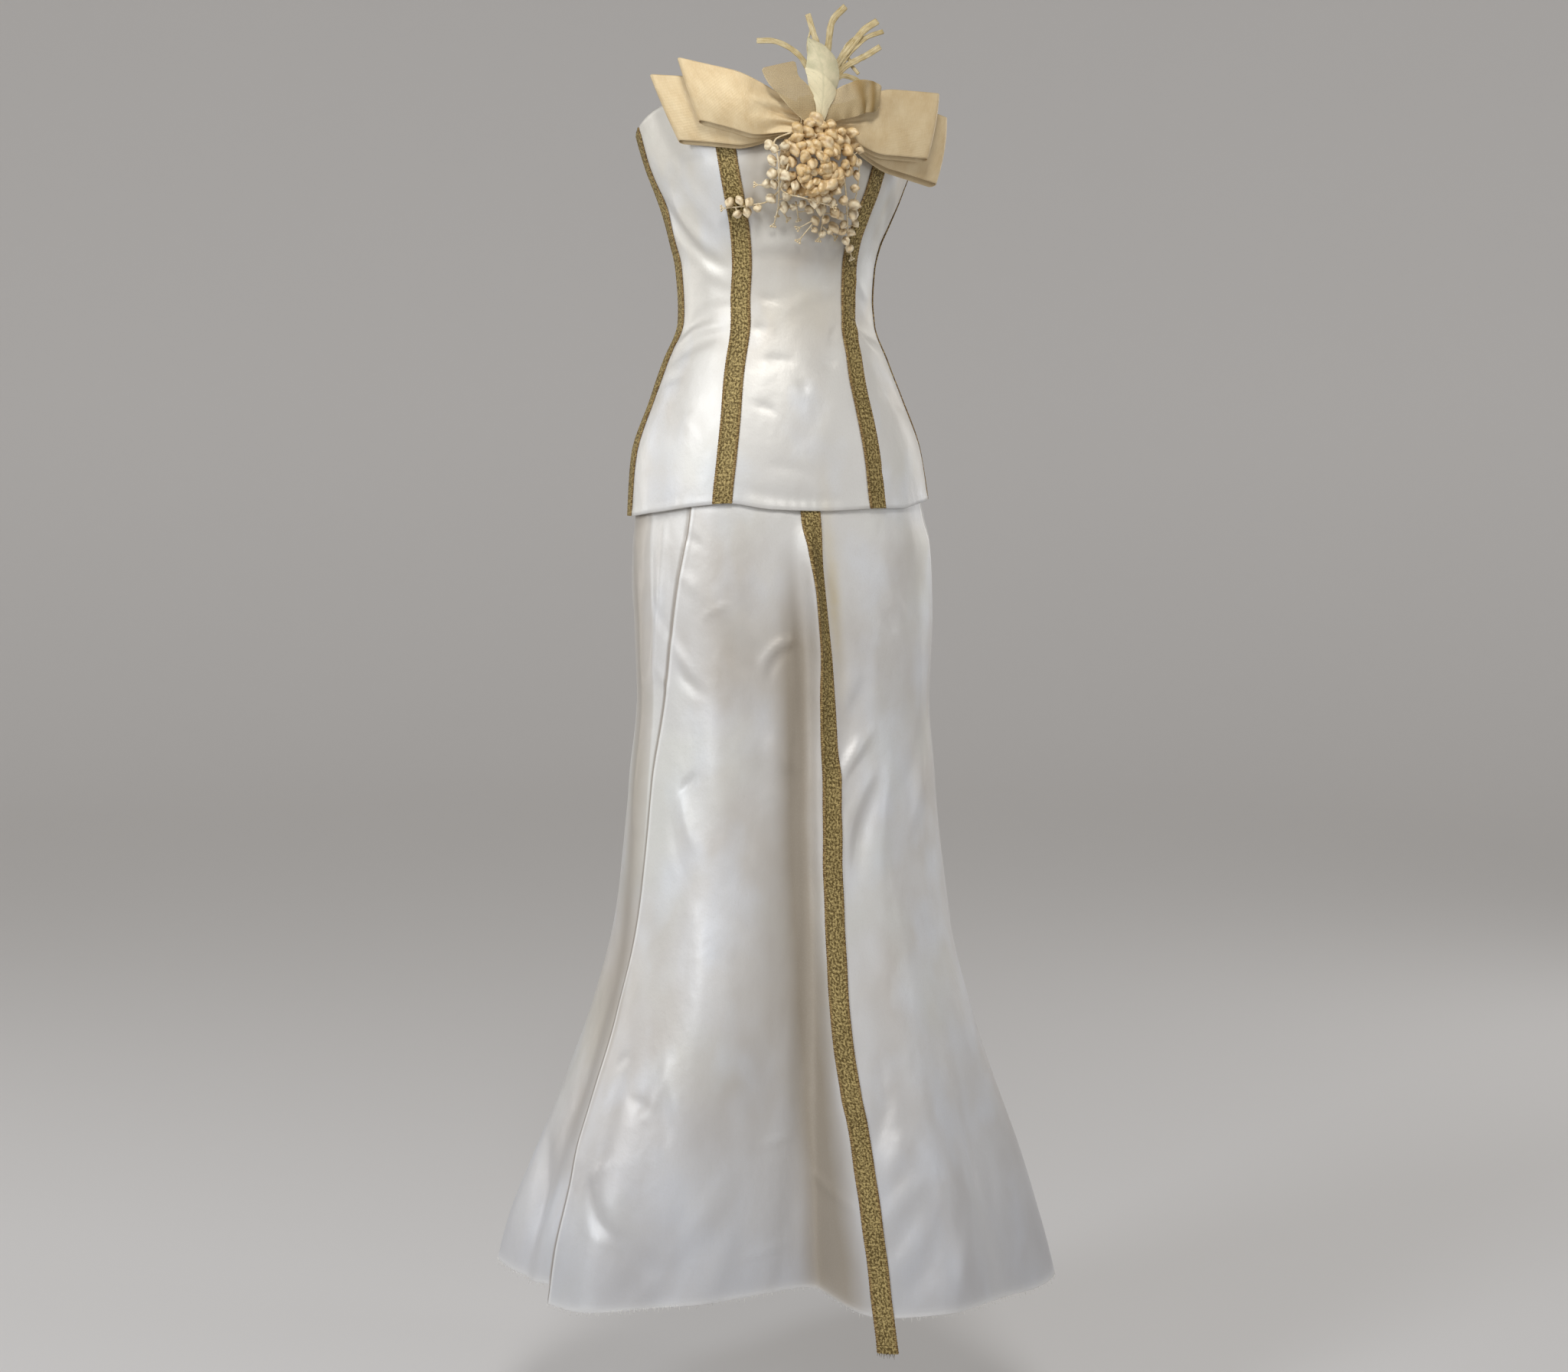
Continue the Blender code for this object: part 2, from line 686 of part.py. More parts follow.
def make_waistband():
    """A plain band, open at the left side where the skirt fastens."""

    def columns(height):
        return list(np.linspace(90 + WAISTBAND_OPEN, 450 - WAISTBAND_OPEN, WAISTBAND_STEPS + 1))

    wall(
        "waistband", (SATIN, 0.4), skirt_base, columns, (0.0,),
        lambda angle: WAISTBAND_HALF, lambda angle: -WAISTBAND_HALF, 0.0, -WAISTBAND_THICK,
    )


def loop_profile(thick):
    """The closed path of one layer face: out along the front, round the fold and back."""
    front = [(along, gap + thick) for along, gap in zip(LOOP_ALONG, LOOP_HALF_GAP)]
    back = [(along, -gap - thick) for along, gap in zip(LOOP_ALONG[::-1], LOOP_HALF_GAP[::-1])]
    return front + [(1.0, 0.0)] + back


def make_bow_loop(loop):
    half_thick = RIBBON_THICK / 2
    across_turn = math.degrees(math.asin(loop.rise / loop.length))

    def place(along, depth, across):
        distance = along * loop.length
        bend = math.radians(loop.bend_root + (loop.bend_end - loop.bend_root) * along / 2)
        facing = math.radians(loop.bend_root + (loop.bend_end - loop.bend_root) * along)
        width = loop.root_width + (loop.end_width - loop.root_width) * smooth(along / LOOP_WIDENS_OVER)
        slide = loop.lean * across * smooth(along / LOOP_LEANS_OVER)
        cup = LOOP_CUP * (2 * across) ** 2 * smooth(along / LOOP_CUPS_OVER)
        outward = distance * math.cos(math.radians(across_turn)) + slide
        x = outward * math.cos(bend) + (depth - cup) * math.sin(facing)
        y = outward * math.sin(bend) - (depth - cup) * math.cos(facing)
        z = loop.rise * along + width * across
        root = KNOT + Vector((loop.side * (KNOT_HALF.x + ROOT_CLEAR), loop.layer, 0))
        return root + Vector((loop.side * x, y, z))

    mesh = bmesh.new()
    faces = []
    for thick in (half_thick, -half_thick):
        lines = []
        for along, depth in loop_profile(thick):
            if depth == 0.0:
                along += thick / loop.length
            lines.append(
                [mesh.verts.new(place(along, depth, k / LOOP_ACROSS - 0.5)) for k in range(LOOP_ACROSS + 1)]
            )
        faces.append(lines)
    outer, inner = faces
    count = len(outer)
    for sheet in (outer, inner):
        for i in range(count):
            j = (i + 1) % count
            for k in range(LOOP_ACROSS):
                mesh.faces.new((sheet[i][k], sheet[j][k], sheet[j][k + 1], sheet[i][k + 1]))
    for i in range(count):
        j = (i + 1) % count
        for k in (0, LOOP_ACROSS):
            mesh.faces.new((outer[i][k], outer[j][k], inner[j][k], inner[i][k]))
    bmesh.ops.recalc_face_normals(mesh, faces=mesh.faces)
    data = bpy.data.meshes.new(loop.name)
    mesh.to_mesh(data)
    mesh.free()
    add_object(loop.name, data, RIBBON, 0.35)


def make_knot():
    mesh = bmesh.new()
    bmesh.ops.create_cube(mesh, size=2.0)
    bmesh.ops.scale(mesh, vec=KNOT_HALF, verts=mesh.verts)
    bmesh.ops.bevel(mesh, geom=list(mesh.edges), offset=KNOT_ROUNDING, segments=2, affect="EDGES", profile=0.6)
    bmesh.ops.translate(mesh, vec=KNOT, verts=mesh.verts)
    data = bpy.data.meshes.new("bow_wrap")
    mesh.to_mesh(data)
    mesh.free()
    add_object("bow_wrap", data, RIBBON, 0.4)


def spline(points, steps):
    """Points along a smooth curve through the given ones."""
    points = [Vector(p) for p in points]
    table = [(i, *p) for i, p in enumerate(points)]
    curve = Curve(table)
    return [Vector(curve(t)) for t in np.linspace(0, len(points) - 1, steps + 1)]


def flat_sheet(name, look, place, across_steps, along_steps, thick):
    """A thin closed sheet whose middle surface is place(across, along), each from 0 to 1."""

    def at(s, t, out):
        step = 0.01
        across = place(min(s + step, 1), t) - place(max(s - step, 0), t)
        along = place(s, min(t + step, 1)) - place(s, max(t - step, 0))
        return place(s, t) + across.cross(along).normalized() * out

    mesh = bmesh.new()
    sheets = [
        [
            [mesh.verts.new(at(c / across_steps, r / along_steps, out)) for c in range(across_steps + 1)]
            for r in range(along_steps + 1)
        ]
        for out in (thick / 2, -thick / 2)
    ]
    for sheet in sheets:
        for r in range(along_steps):
            for c in range(across_steps):
                mesh.faces.new((sheet[r][c], sheet[r][c + 1], sheet[r + 1][c + 1], sheet[r + 1][c]))
    border = [(0, c) for c in range(across_steps + 1)]
    border += [(r, across_steps) for r in range(1, along_steps + 1)]
    border += [(along_steps, c) for c in range(across_steps - 1, -1, -1)]
    border += [(r, 0) for r in range(along_steps - 1, 0, -1)]
    for here, there in zip(border, border[1:] + border[:1]):
        mesh.faces.new(
            (
                sheets[0][here[0]][here[1]],
                sheets[0][there[0]][there[1]],
                sheets[1][there[0]][there[1]],
                sheets[1][here[0]][here[1]],
            )
        )
    bmesh.ops.recalc_face_normals(mesh, faces=mesh.faces)
    data = bpy.data.meshes.new(name)
    mesh.to_mesh(data)
    mesh.free()
    add_object(name, data, *look)


def from_knot(across, up, forward):
    return KNOT + Vector((across, -forward, up))


# The leaf and the two organza tabs, from root to tip: how far along, where the middle line
# lies across, above and in front of the knot's middle, and the half width there.
LeafRow = namedtuple("LeafRow", "along across up forward half_width")
LEAF = (
    LeafRow(0.00, 0.005, 0.001, 0.0160, 0.0035),
    LeafRow(0.25, 0.012, 0.022, 0.0215, 0.012),
    LeafRow(0.55, 0.014, 0.046, 0.0235, 0.0165),
    LeafRow(0.80, 0.006, 0.063, 0.0200, 0.0090),
    LeafRow(1.00, -0.003, 0.074, 0.0150, 0.0012),
)
LEFT_TAB = (
    LeafRow(0.00, -0.006, 0.004, 0.0160, 0.004),
    LeafRow(0.35, -0.016, 0.024, 0.0185, 0.009),
    LeafRow(0.70, -0.030, 0.040, 0.0170, 0.014),
    LeafRow(1.00, -0.044, 0.050, 0.0140, 0.013),
)
RIGHT_PETAL = (
    LeafRow(0.00, 0.0125, -0.002, 0.0160, 0.003),
    LeafRow(0.40, 0.032, 0.010, 0.0172, 0.014),
    LeafRow(0.75, 0.052, 0.018, 0.0170, 0.018),
    LeafRow(1.00, 0.070, 0.012, 0.0150, 0.004),
)


BLADE_CUPS_OVER = 0.3


def blade(rows, cup):
    """A place function for a leaf-like sheet that follows the rows and cups across."""
    curve = Curve(rows)

    def place(across, along):
        x, up, forward, half_width = curve(along)
        step = 0.02
        before, after = curve(max(along - step, 0)), curve(min(along + step, 1))
        run = Vector((after[0] - before[0], after[1] - before[1])).normalized()
        side = 2 * across - 1
        return from_knot(
            x + run.y * half_width * side,
            up - run.x * half_width * side,
            forward - cup * side * side * half_width * smooth(along / BLADE_CUPS_OVER),
        )

    return place


def make_leaves():
    flat_sheet("leaf", (LEAF_GREEN, 0.6), blade(LEAF, 0.35), 4, 8, 0.0011)
    flat_sheet("organza_tab_left", (ORGANZA, 0.5), blade(LEFT_TAB, 0.1), 3, 6, 0.0010)
    flat_sheet("organza_petal_right", (ORGANZA, 0.5), blade(RIGHT_PETAL, 0.1), 4, 6, 0.0010)


def tube(mesh, points, half_sizes, sides, flat=None):
    """Adds a closed tube along the points. flat gives the direction of the wider half size."""
    rings = []
    for i, point in enumerate(points):
        run = (points[min(i + 1, len(points) - 1)] - points[max(i - 1, 0)]).normalized()
        wide = (flat or Vector((0.3, -1, 0.2))).cross(run).normalized()
        thin = run.cross(wide)
        ring = []
        for k in range(sides):
            turn = 2 * math.pi * (k + 0.5) / sides
            ring.append(
                mesh.verts.new(
                    point + wide * half_sizes[0] * math.cos(turn) + thin * half_sizes[1] * math.sin(turn)
                )
            )
        rings.append(ring)
    faces = []
    for here, there in zip(rings, rings[1:]):
        for k in range(sides):
            after = (k + 1) % sides
            faces.append(mesh.faces.new((here[k], here[after], there[after], there[k])))
    faces.append(mesh.faces.new(rings[0][::-1]))
    faces.append(mesh.faces.new(rings[-1]))
    bmesh.ops.recalc_face_normals(mesh, faces=faces)


def ball(mesh, centre, radii, detail=1):
    made = bmesh.ops.create_icosphere(mesh, subdivisions=detail, radius=1.0)["verts"]
    bmesh.ops.scale(mesh, vec=radii, verts=made)
    bmesh.ops.translate(mesh, vec=centre, verts=made)


def as_mesh(name, mesh):
    data = bpy.data.meshes.new(name)
    mesh.to_mesh(data)
    mesh.free()
    return data


def union(name, look, first, second):
    """One closed body of two meshes of overlapping shapes."""
    body = add_object(name, as_mesh(name, first), *look)
    other = bpy.data.objects.new(name + "_joined", as_mesh(name + "_joined", second))
    bpy.context.scene.collection.objects.link(other)
    other.hide_render = True
    other.display_type = "WIRE"
    join = body.modifiers.new("join", "BOOLEAN")
    join.operation = "UNION"
    join.solver = "EXACT"
    join.use_self = True
    join.object = other
    return body


def make_strips():
    strips = bmesh.new()
    for strip in STRIPS:
        points = [from_knot(*p) for p in spline(strip.route, STRIP_STEPS)]
        half_sizes = (strip.width / 2 * math.sqrt(2), STRIP_THICK / 2 * math.sqrt(2))
        tube(strips, points, half_sizes, 4, STRIP_FACING)
    root = bmesh.new()
    ball(root, from_knot(*STRIP_ROOT), STRIP_ROOT_RADII, 2)
    union("straw_strips", (STRAW, 0.7), strips, root)


def corset_front_at(across, height, out):
    half_width = corset_section(height)[0]
    angle = math.degrees(math.asin(max(-1, min(1, across / half_width))))
    return offset_point(corset_base, angle, height, out)


def make_spray():
    stems, buds = bmesh.new(), bmesh.new()
    root = KNOT + SPRIG_ROOT
    ball(buds, root, SPRIG_ROOT_RADII)
    for number, sprig in enumerate(SPRIGS):
        end = corset_front_at(KNOT.x + sprig.across, KNOT.z - sprig.drop, sprig.stand_off)
        middle = root.lerp(end, 0.5) + Vector((0, -sprig.bulge * 0.5, 0))
        points = spline([tuple(root), tuple(middle), tuple(end)], STEM_STEPS)
        tube(stems, points, (STEM_RADIUS, STEM_RADIUS), 3)
        for k in range(sprig.buds):
            share = FIRST_BUD + (1 - FIRST_BUD) * k / (sprig.buds - 1)
            place = share * STEM_STEPS
            step = min(int(place), STEM_STEPS - 1)
            on_stem = points[step].lerp(points[step + 1], place - step)
            run = (points[step + 1] - points[step]).normalized()
            side = run.cross(Vector((0, -1, 0))).normalized()
            swing = math.radians(k * BUD_TURN + number * SPRIG_TURN)
            away = side * math.cos(swing) + Vector((0, -1, 0)) * abs(math.sin(swing))
            size = sprig.bud_radius * (1 - BUD_SHRINKS * share)
            off = BUD_OFF_STEM * size if k < sprig.buds - 1 else 0
            ball(buds, on_stem + away * off, Vector((size, size, size * BUD_LENGTH)))
    union("bud_spray", (BUD, 0.6), stems, buds)


def main():
    clear_scene()
    make_corset()
    make_corset_braids()
    make_skirt()
    make_skirt_braid()
    make_waistband()
    for loop in LOOPS:
        make_bow_loop(loop)
    make_knot()
    make_leaves()
    make_strips()
    make_spray()


main()
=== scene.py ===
"""A strapless satin corset over a long flared skirt, with gold braid, a ribbon bow and buds.

Metres, +Z up. The front faces -Y and the wearer's left is +X. The origin is the middle of
the waist. Angles are degrees round the figure from the centre front, positive towards the
wearer's left.
"""

import math
from collections import namedtuple

import bmesh
import bpy
import numpy as np
from mathutils import Matrix, Vector


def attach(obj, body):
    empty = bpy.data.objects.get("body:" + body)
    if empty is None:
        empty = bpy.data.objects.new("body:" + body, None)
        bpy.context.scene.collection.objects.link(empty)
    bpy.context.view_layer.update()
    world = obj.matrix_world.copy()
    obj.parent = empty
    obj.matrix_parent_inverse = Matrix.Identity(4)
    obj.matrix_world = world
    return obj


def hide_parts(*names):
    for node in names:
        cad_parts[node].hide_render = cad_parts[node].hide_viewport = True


bl_info = {
    "name": "Corset and skirt set",
    "version": (1, 0, 0),
    "blender": (4, 5, 0),
    "location": "View3D > Sidebar > Costume",
    "description": "Adds the cloth, braid, bow and bud spray of a corset and skirt set",
    "category": "Object",
}

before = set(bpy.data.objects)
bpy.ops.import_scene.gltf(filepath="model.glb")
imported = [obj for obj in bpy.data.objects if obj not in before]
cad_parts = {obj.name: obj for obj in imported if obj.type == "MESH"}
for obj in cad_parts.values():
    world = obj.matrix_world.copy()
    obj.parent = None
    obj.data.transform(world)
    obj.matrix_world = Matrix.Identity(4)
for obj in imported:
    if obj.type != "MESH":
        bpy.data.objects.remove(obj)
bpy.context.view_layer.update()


def table_of(kind, *values):
    return tuple(kind(*row) for row in values)


# Sizes and tables of the cut

CORSET_CLOTH = 0.0018
SKIRT_CLOTH = 0.0015
SEAM_GAP = 0.0003
LAP_WIDTH = 0.012
LAP_DROP = 0.0024
BRAID_WIDTH = 0.020
BRAID_THICK = 0.0014
BRAID_COLUMNS = 23
BRAID_START = -0.170
WAISTBAND_HALF = 0.015
WAISTBAND_THICK = 0.0022
WAISTBAND_OPEN = 0.3
WAISTBAND_CELL = 0.005
HELD_FROM = -0.030
HELD_DOWN_TO = -0.080
LIP_SHARE = 0.4
TURNED_RISE, TURNED_WIDTH = 0.0005, 0.003
FRAY_WIDTH = 0.0035
SCALLOP = 0.0033
BRAID_SUNK = 0.0002
THREAD_HOLD, THREAD_RADIUS = 0.0015, 0.00034
RIGHT_LAP_END, LEFT_LAP_END, BRAID_END = -1.065, -1.070, -1.060
TUBE_ASIDE = (0.31, -0.93, 0.2)

# Half width, the depths in front of and behind the side line, and the middle, at each height.
Section = namedtuple("Section", "height half_width front back middle")
CORSET_SECTIONS = table_of(
    Section,
    (0.23, 0.166, 0.116, 0.09, 0.0), (0.19, 0.1575, 0.119, 0.09, 0.0), (0.15, 0.1465, 0.121, 0.09, 0.0),
    (0.12, 0.135, 0.116, 0.089, 0.0), (0.09, 0.1235, 0.106, 0.086, -0.0017),
    (0.065, 0.115, 0.098, 0.084, -0.0036), (0.04, 0.109, 0.09, 0.082, -0.0036),
    (0.005, 0.1067, 0.086, 0.08, -0.0033), (-0.02, 0.108, 0.088, 0.083, -0.0025),
    (-0.06, 0.1235, 0.095, 0.096, -0.0027), (-0.1, 0.1387, 0.104, 0.11, -0.0018),
    (-0.16, 0.1602, 0.112, 0.127, -0.0008), (-0.235, 0.1692, 0.116, 0.137, 0.002),
)
SKIRT_SECTIONS = table_of(
    Section,
    (0.0, 0.103, 0.082, 0.076, -0.003), (-0.06, 0.1185, 0.09, 0.091, -0.0027),
    (-0.1, 0.1335, 0.099, 0.105, -0.0018), (-0.16, 0.155, 0.107, 0.122, -0.0005),
    (-0.2, 0.1605, 0.11, 0.127, 0.0008), (-0.23, 0.1635, 0.1115, 0.131, 0.002),
    (-0.262, 0.1688, 0.1125, 0.135, 0.004), (-0.3, 0.1695, 0.113, 0.137, 0.0042),
    (-0.36, 0.168, 0.113, 0.139, 0.0053), (-0.43, 0.1655, 0.114, 0.14, 0.005),
    (-0.515, 0.172, 0.12, 0.146, 0.0046), (-0.6, 0.1795, 0.129, 0.155, 0.0052),
    (-0.685, 0.189, 0.143, 0.168, 0.0065), (-0.77, 0.2088, 0.16, 0.188, 0.0062),
    (-0.855, 0.2352, 0.181, 0.214, 0.004), (-0.94, 0.2655, 0.205, 0.244, 0.0016),
    (-1.025, 0.2927, 0.228, 0.272, -0.003), (-1.12, 0.3155, 0.248, 0.296, -0.003),
)

# Soft cups that the corset's seams shape.
Cup = namedtuple("Cup", "angle height spread_angle spread_height depth")
CUPS = table_of(
    Cup,
    (-30, 0.125, 20, 0.045, 0.005), (30, 0.125, 20, 0.045, 0.005),
)

# The deep fold beside the front braid: where its floor lies, and how wide each wall is.
FrontFold = namedtuple("FrontFold", "height angle depth right_width left_width")
FRONT_FOLD = table_of(
    FrontFold,
    (-0.1, -1, 0.0, 5, 3.0), (-0.24, -1, 0.003, 5, 2.4), (-0.43, -0.5, 0.006, 6, 3.0),
    (-0.6, -1.5, 0.01, 9, 4.0), (-0.72, -1.5, 0.018, 16, 4.2), (-0.85, -0.5, 0.04, 28, 4.6),
    (-0.95, 1, 0.064, 36, 5.0), (-1.08, 3, 0.092, 44, 5.2), (-1.12, 3, 0.096, 44, 5.2),
)

# The small ridge beside the braid just below the corset, on whose far wall the braid lies.
Ridge = namedtuple("Ridge", "height rise before right_width left_width")
BRAID_RIDGE = table_of(
    Ridge,
    (-0.2, 0.0, 2.6, 4.0, 2.3), (-0.23, 0.0018, 2.6, 4.0, 2.3), (-0.262, 0.0095, 2.6, 4.0, 2.3),
    (-0.31, 0.014, 2.6, 4.0, 2.2), (-0.36, 0.012, 2.6, 4.0, 2.2), (-0.43, 0.006, 2.8, 4.0, 2.4),
    (-0.52, 0.002, 3.0, 4.0, 2.6), (-0.62, 0.0, 3.0, 4.0, 2.6),
)

# Softer folds of the skirt, which deepen from their top down to the hem.
Fold = namedtuple("Fold", "top_angle hem_angle width top depth")
SKIRT_FOLDS = table_of(
    Fold,
    (-60, -52, 9, -0.7, 0.016), (-88, -84, 7, -0.45, -0.01), (-104, -102, 8, -0.4, 0.016),
    (18, 28, 12, -0.5, 0.02), (44, 52, 8, -0.62, -0.01), (66, 72, 9, -0.6, 0.014),
    (100, 104, 10, -0.45, -0.018), (118, 124, 10, -0.45, 0.02), (138, 146, 10, -0.4, -0.02),
    (163, 168, 9, -0.4, 0.022), (-138, -146, 10, -0.4, -0.02), (-118, -124, 10, -0.45, 0.02),
    (-163, -168, 9, -0.4, 0.022),
)

# Seam lines as angles at each height. The two front seams have an angle each.
Seam = namedtuple("Seam", "height angle")
SeamPair = namedtuple("SeamPair", "height right left")
FRONT_SEAMS = table_of(
    SeamPair,
    (0.23, 34.0, 40.0), (0.17, 32.3, 37.0), (0.125, 31.8, 35.2), (0.065, 29.6, 35.6), (0.04, 29.8, 36.5),
    (0.0, 31.6, 37.1), (-0.05, 30.5, 34.2), (-0.1, 30.0, 31.2), (-0.15, 28.9, 30.5), (-0.2, 30.3, 30.8),
    (-0.24, 31.0, 31.2),
)
SIDE_SEAM = table_of(
    Seam,
    (0.23, 91), (0.13, 89), (0.07, 87), (0.0, 87), (-0.1, 89), (-0.24, 90),
)
RIGHT_LAP = table_of(
    Seam,
    (-0.01, -40.0), (-0.238, -46.5), (-0.297, -50.8), (-0.347, -55.0), (-0.404, -59.0), (-0.454, -62.8),
    (-0.511, -65.8), (-0.62, -68.3), (-0.7, -71.2), (-0.77, -73.0), (-0.9, -72.1), (-0.945, -69.5),
    (-0.985, -68.0), (-1.12, -66.0),
)
LEFT_LAP = table_of(
    Seam,
    (-0.01, 62), (-0.228, 67), (-0.287, 73), (-0.357, 79), (-0.45, 82), (-0.6, 86), (-1.12, 88),
)
SKIRT_BRAID = table_of(
    Seam,
    (-0.01, 2.5), (-0.236, 2.8), (-0.314, 5.0), (-0.413, 7.6), (-0.511, 8.8), (-0.609, 8.0), (-0.7, 7.0),
    (-0.75, 7.0), (-0.8, 7.6), (-0.845, 8.6), (-0.87, 9.5), (-0.964, 11.0), (-1.012, 11.8), (-1.12, 12.6),
)
BACK_RIGHT_SEAM = (Seam(-0.01, -118), Seam(-1.12, -122))

# Edge heights at angles round the figure.
Edge = namedtuple("Edge", "angle height")
NECKLINE = table_of(
    Edge,
    (0, 0.186), (15, 0.196), (30, 0.209), (42, 0.213), (55, 0.209), (70, 0.199), (88, 0.186), (110, 0.174),
    (180, 0.166),
)
CORSET_HEM = table_of(
    Edge,
    (-180, -0.218), (-90, -0.228), (-60, -0.222), (-42, -0.216), (-28, -0.213), (-12, -0.219), (8, -0.221),
    (30, -0.219), (45, -0.219), (60, -0.214), (90, -0.211), (180, -0.218),
)
FRONT_HEM = table_of(
    Edge,
    (-80, -1.066), (-66, -1.0715), (-45, -1.066), (-20, -1.06), (0, -1.056), (10, -1.068), (30, -1.068),
    (60, -1.085), (90, -1.074),
)
BACK_HEM = table_of(
    Edge,
    (-180, -1.062), (-120, -1.06), (-90, -1.062), (-60, -1.05), (0, -1.05), (60, -1.06), (90, -1.066),
    (180, -1.062),
)

# The bow: loops of ribbon from the wrap, which stand out and bend back.
KNOT = Vector((0.006, -0.1362, 0.187))
KNOT_HALF = Vector((0.016, 0.015, 0.024))
ROOT_CLEAR = 0.0006
Loop = namedtuple("Loop", "name side layer length rise lean root_width end_width bend_root bend_end")
LOOPS = table_of(
    Loop,
    ("bow_loop_back_right", -1, 0.001, 0.142, 0.014, 0.03, 0.034, 0.068, 5, 34),
    ("bow_loop_front_right", -1, -0.0088, 0.12, 0.03, 0.022, 0.032, 0.064, 4, 22),
    ("bow_loop_front_left", 1, -0.0092, 0.122, -0.002, 0.012, 0.032, 0.068, 3, 21),
    ("bow_loop_back_left", 1, 0.001, 0.148, -0.024, 0.012, 0.034, 0.07, 5, 34),
)
LOOP_GAP = ((0.0, 0.0013), (0.2, 0.0022), (0.42, 0.0036), (0.64, 0.0046), (0.84, 0.0046), (1.0, 0.0046))
BACK_DROP = 0.0034
WRAP_ROUND_STEPS, WRAP_SIDE_STEPS = 72, 30
WRAP_SQUARE = 2.6
LOOP_LONG_STEPS = 56
LOOP_ACROSS_STEPS = 40

# Flat straw, as across, up and forward from the middle of the wrap.
Straw = namedtuple("Straw", "width curl route")
STRAWS = table_of(
    Straw,
    (0.0056, 0.3, ((0.002, 0.03, 0.008), (-0.0115, 0.056, 0.01), (-0.024, 0.069, 0.009),
        (-0.042, 0.0775, 0.007), (-0.061, 0.078, 0.004))),
    (0.0056, -0.5, ((0.005, 0.03, 0.006), (0.003, 0.07, 0.008), (-0.002, 0.09, 0.005),
        (-0.0065, 0.107, 0.002))),
    (0.0014, 0.0, ((0.001, 0.03, 0.007), (-0.006, 0.058, 0.008), (-0.0075, 0.076, 0.006),
        (-0.003, 0.092, 0.003))),
    (0.0066, 0.4, ((0.007, 0.03, 0.006), (0.014, 0.072, 0.007), (0.0195, 0.1, 0.004),
        (0.035, 0.117, -0.002))),
    (0.0068, -0.3, ((0.009, 0.03, 0.006), (0.0265, 0.06, 0.008), (0.043, 0.08, 0.006),
        (0.054, 0.093, 0.003), (0.069, 0.103, 0.0))),
    (0.0046, 0.2, ((0.01, 0.03, 0.006), (0.034, 0.064, 0.007), (0.051, 0.081, 0.004), (0.06, 0.087, 0.001),
        (0.076, 0.093, -0.003))),
    (0.0058, 0.4, ((0.01, 0.03, 0.006), (0.029, 0.051, 0.009), (0.047, 0.062, 0.008), (0.055, 0.066, 0.006),
        (0.071, 0.076, 0.004))),
    (0.0022, 0.0, ((0.01, 0.03, 0.006), (0.03, 0.07, 0.007), (0.039, 0.081, 0.004), (0.046, 0.086, 0.001))),
    (0.0048, -0.3, ((0.01, 0.029, 0.006), (0.026, 0.043, 0.01), (0.04, 0.042, 0.01), (0.054, 0.034, 0.008))),
    (0.0034, 0.1, ((0.012, 0.03, 0.006), (0.033, 0.062, 0.005), (0.041, 0.054, 0.006),
        (0.047, 0.047, 0.007))),
)
STRAW_ROOT = Vector((0.0075, -0.006, 0.0302))
STRAW_ROOT_HALF = (0.0062, 0.0046, 0.0052)
STRAW_THICK = 0.0008

# Blades of leaf and organza, from root to tip: how far along, where the middle line lies
# across, above and in front of the wrap's middle, and the half width there.
BladeRow = namedtuple("BladeRow", "along across up forward half_width")
LEAF = table_of(
    BladeRow,
    (0.0, 0.0035, -0.004, 0.0172, 0.003), (0.14, 0.005, 0.01, 0.0198, 0.0066),
    (0.3, 0.0062, 0.0245, 0.0222, 0.0125), (0.46, 0.0064, 0.039, 0.0236, 0.0165),
    (0.62, 0.005, 0.052, 0.0226, 0.0172), (0.8, 0.0005, 0.0655, 0.0195, 0.0118),
    (1.0, -0.0095, 0.081, 0.015, 0.0008),
)
LEFT_TAB = table_of(
    BladeRow,
    (0.0, 0.004, -0.007, 0.016, 0.007), (0.2, -0.006, 0.006, 0.0192, 0.0135),
    (0.42, -0.0205, 0.0205, 0.0212, 0.015), (0.58, -0.0295, 0.03, 0.0204, 0.0142),
    (0.78, -0.0368, 0.041, 0.018, 0.0168), (0.94, -0.04, 0.051, 0.0156, 0.0182),
    (1.0, -0.0405, 0.053, 0.015, 0.016),
)
RIGHT_PETAL = table_of(
    BladeRow,
    (0.0, 0.008, -0.003, 0.0166, 0.006), (0.22, 0.019, 0.009, 0.02, 0.0135),
    (0.48, 0.035, 0.0175, 0.0222, 0.017), (0.74, 0.052, 0.0225, 0.0214, 0.0165),
    (0.94, 0.0655, 0.022, 0.0186, 0.0135), (1.0, 0.0675, 0.0218, 0.0176, 0.011),
)

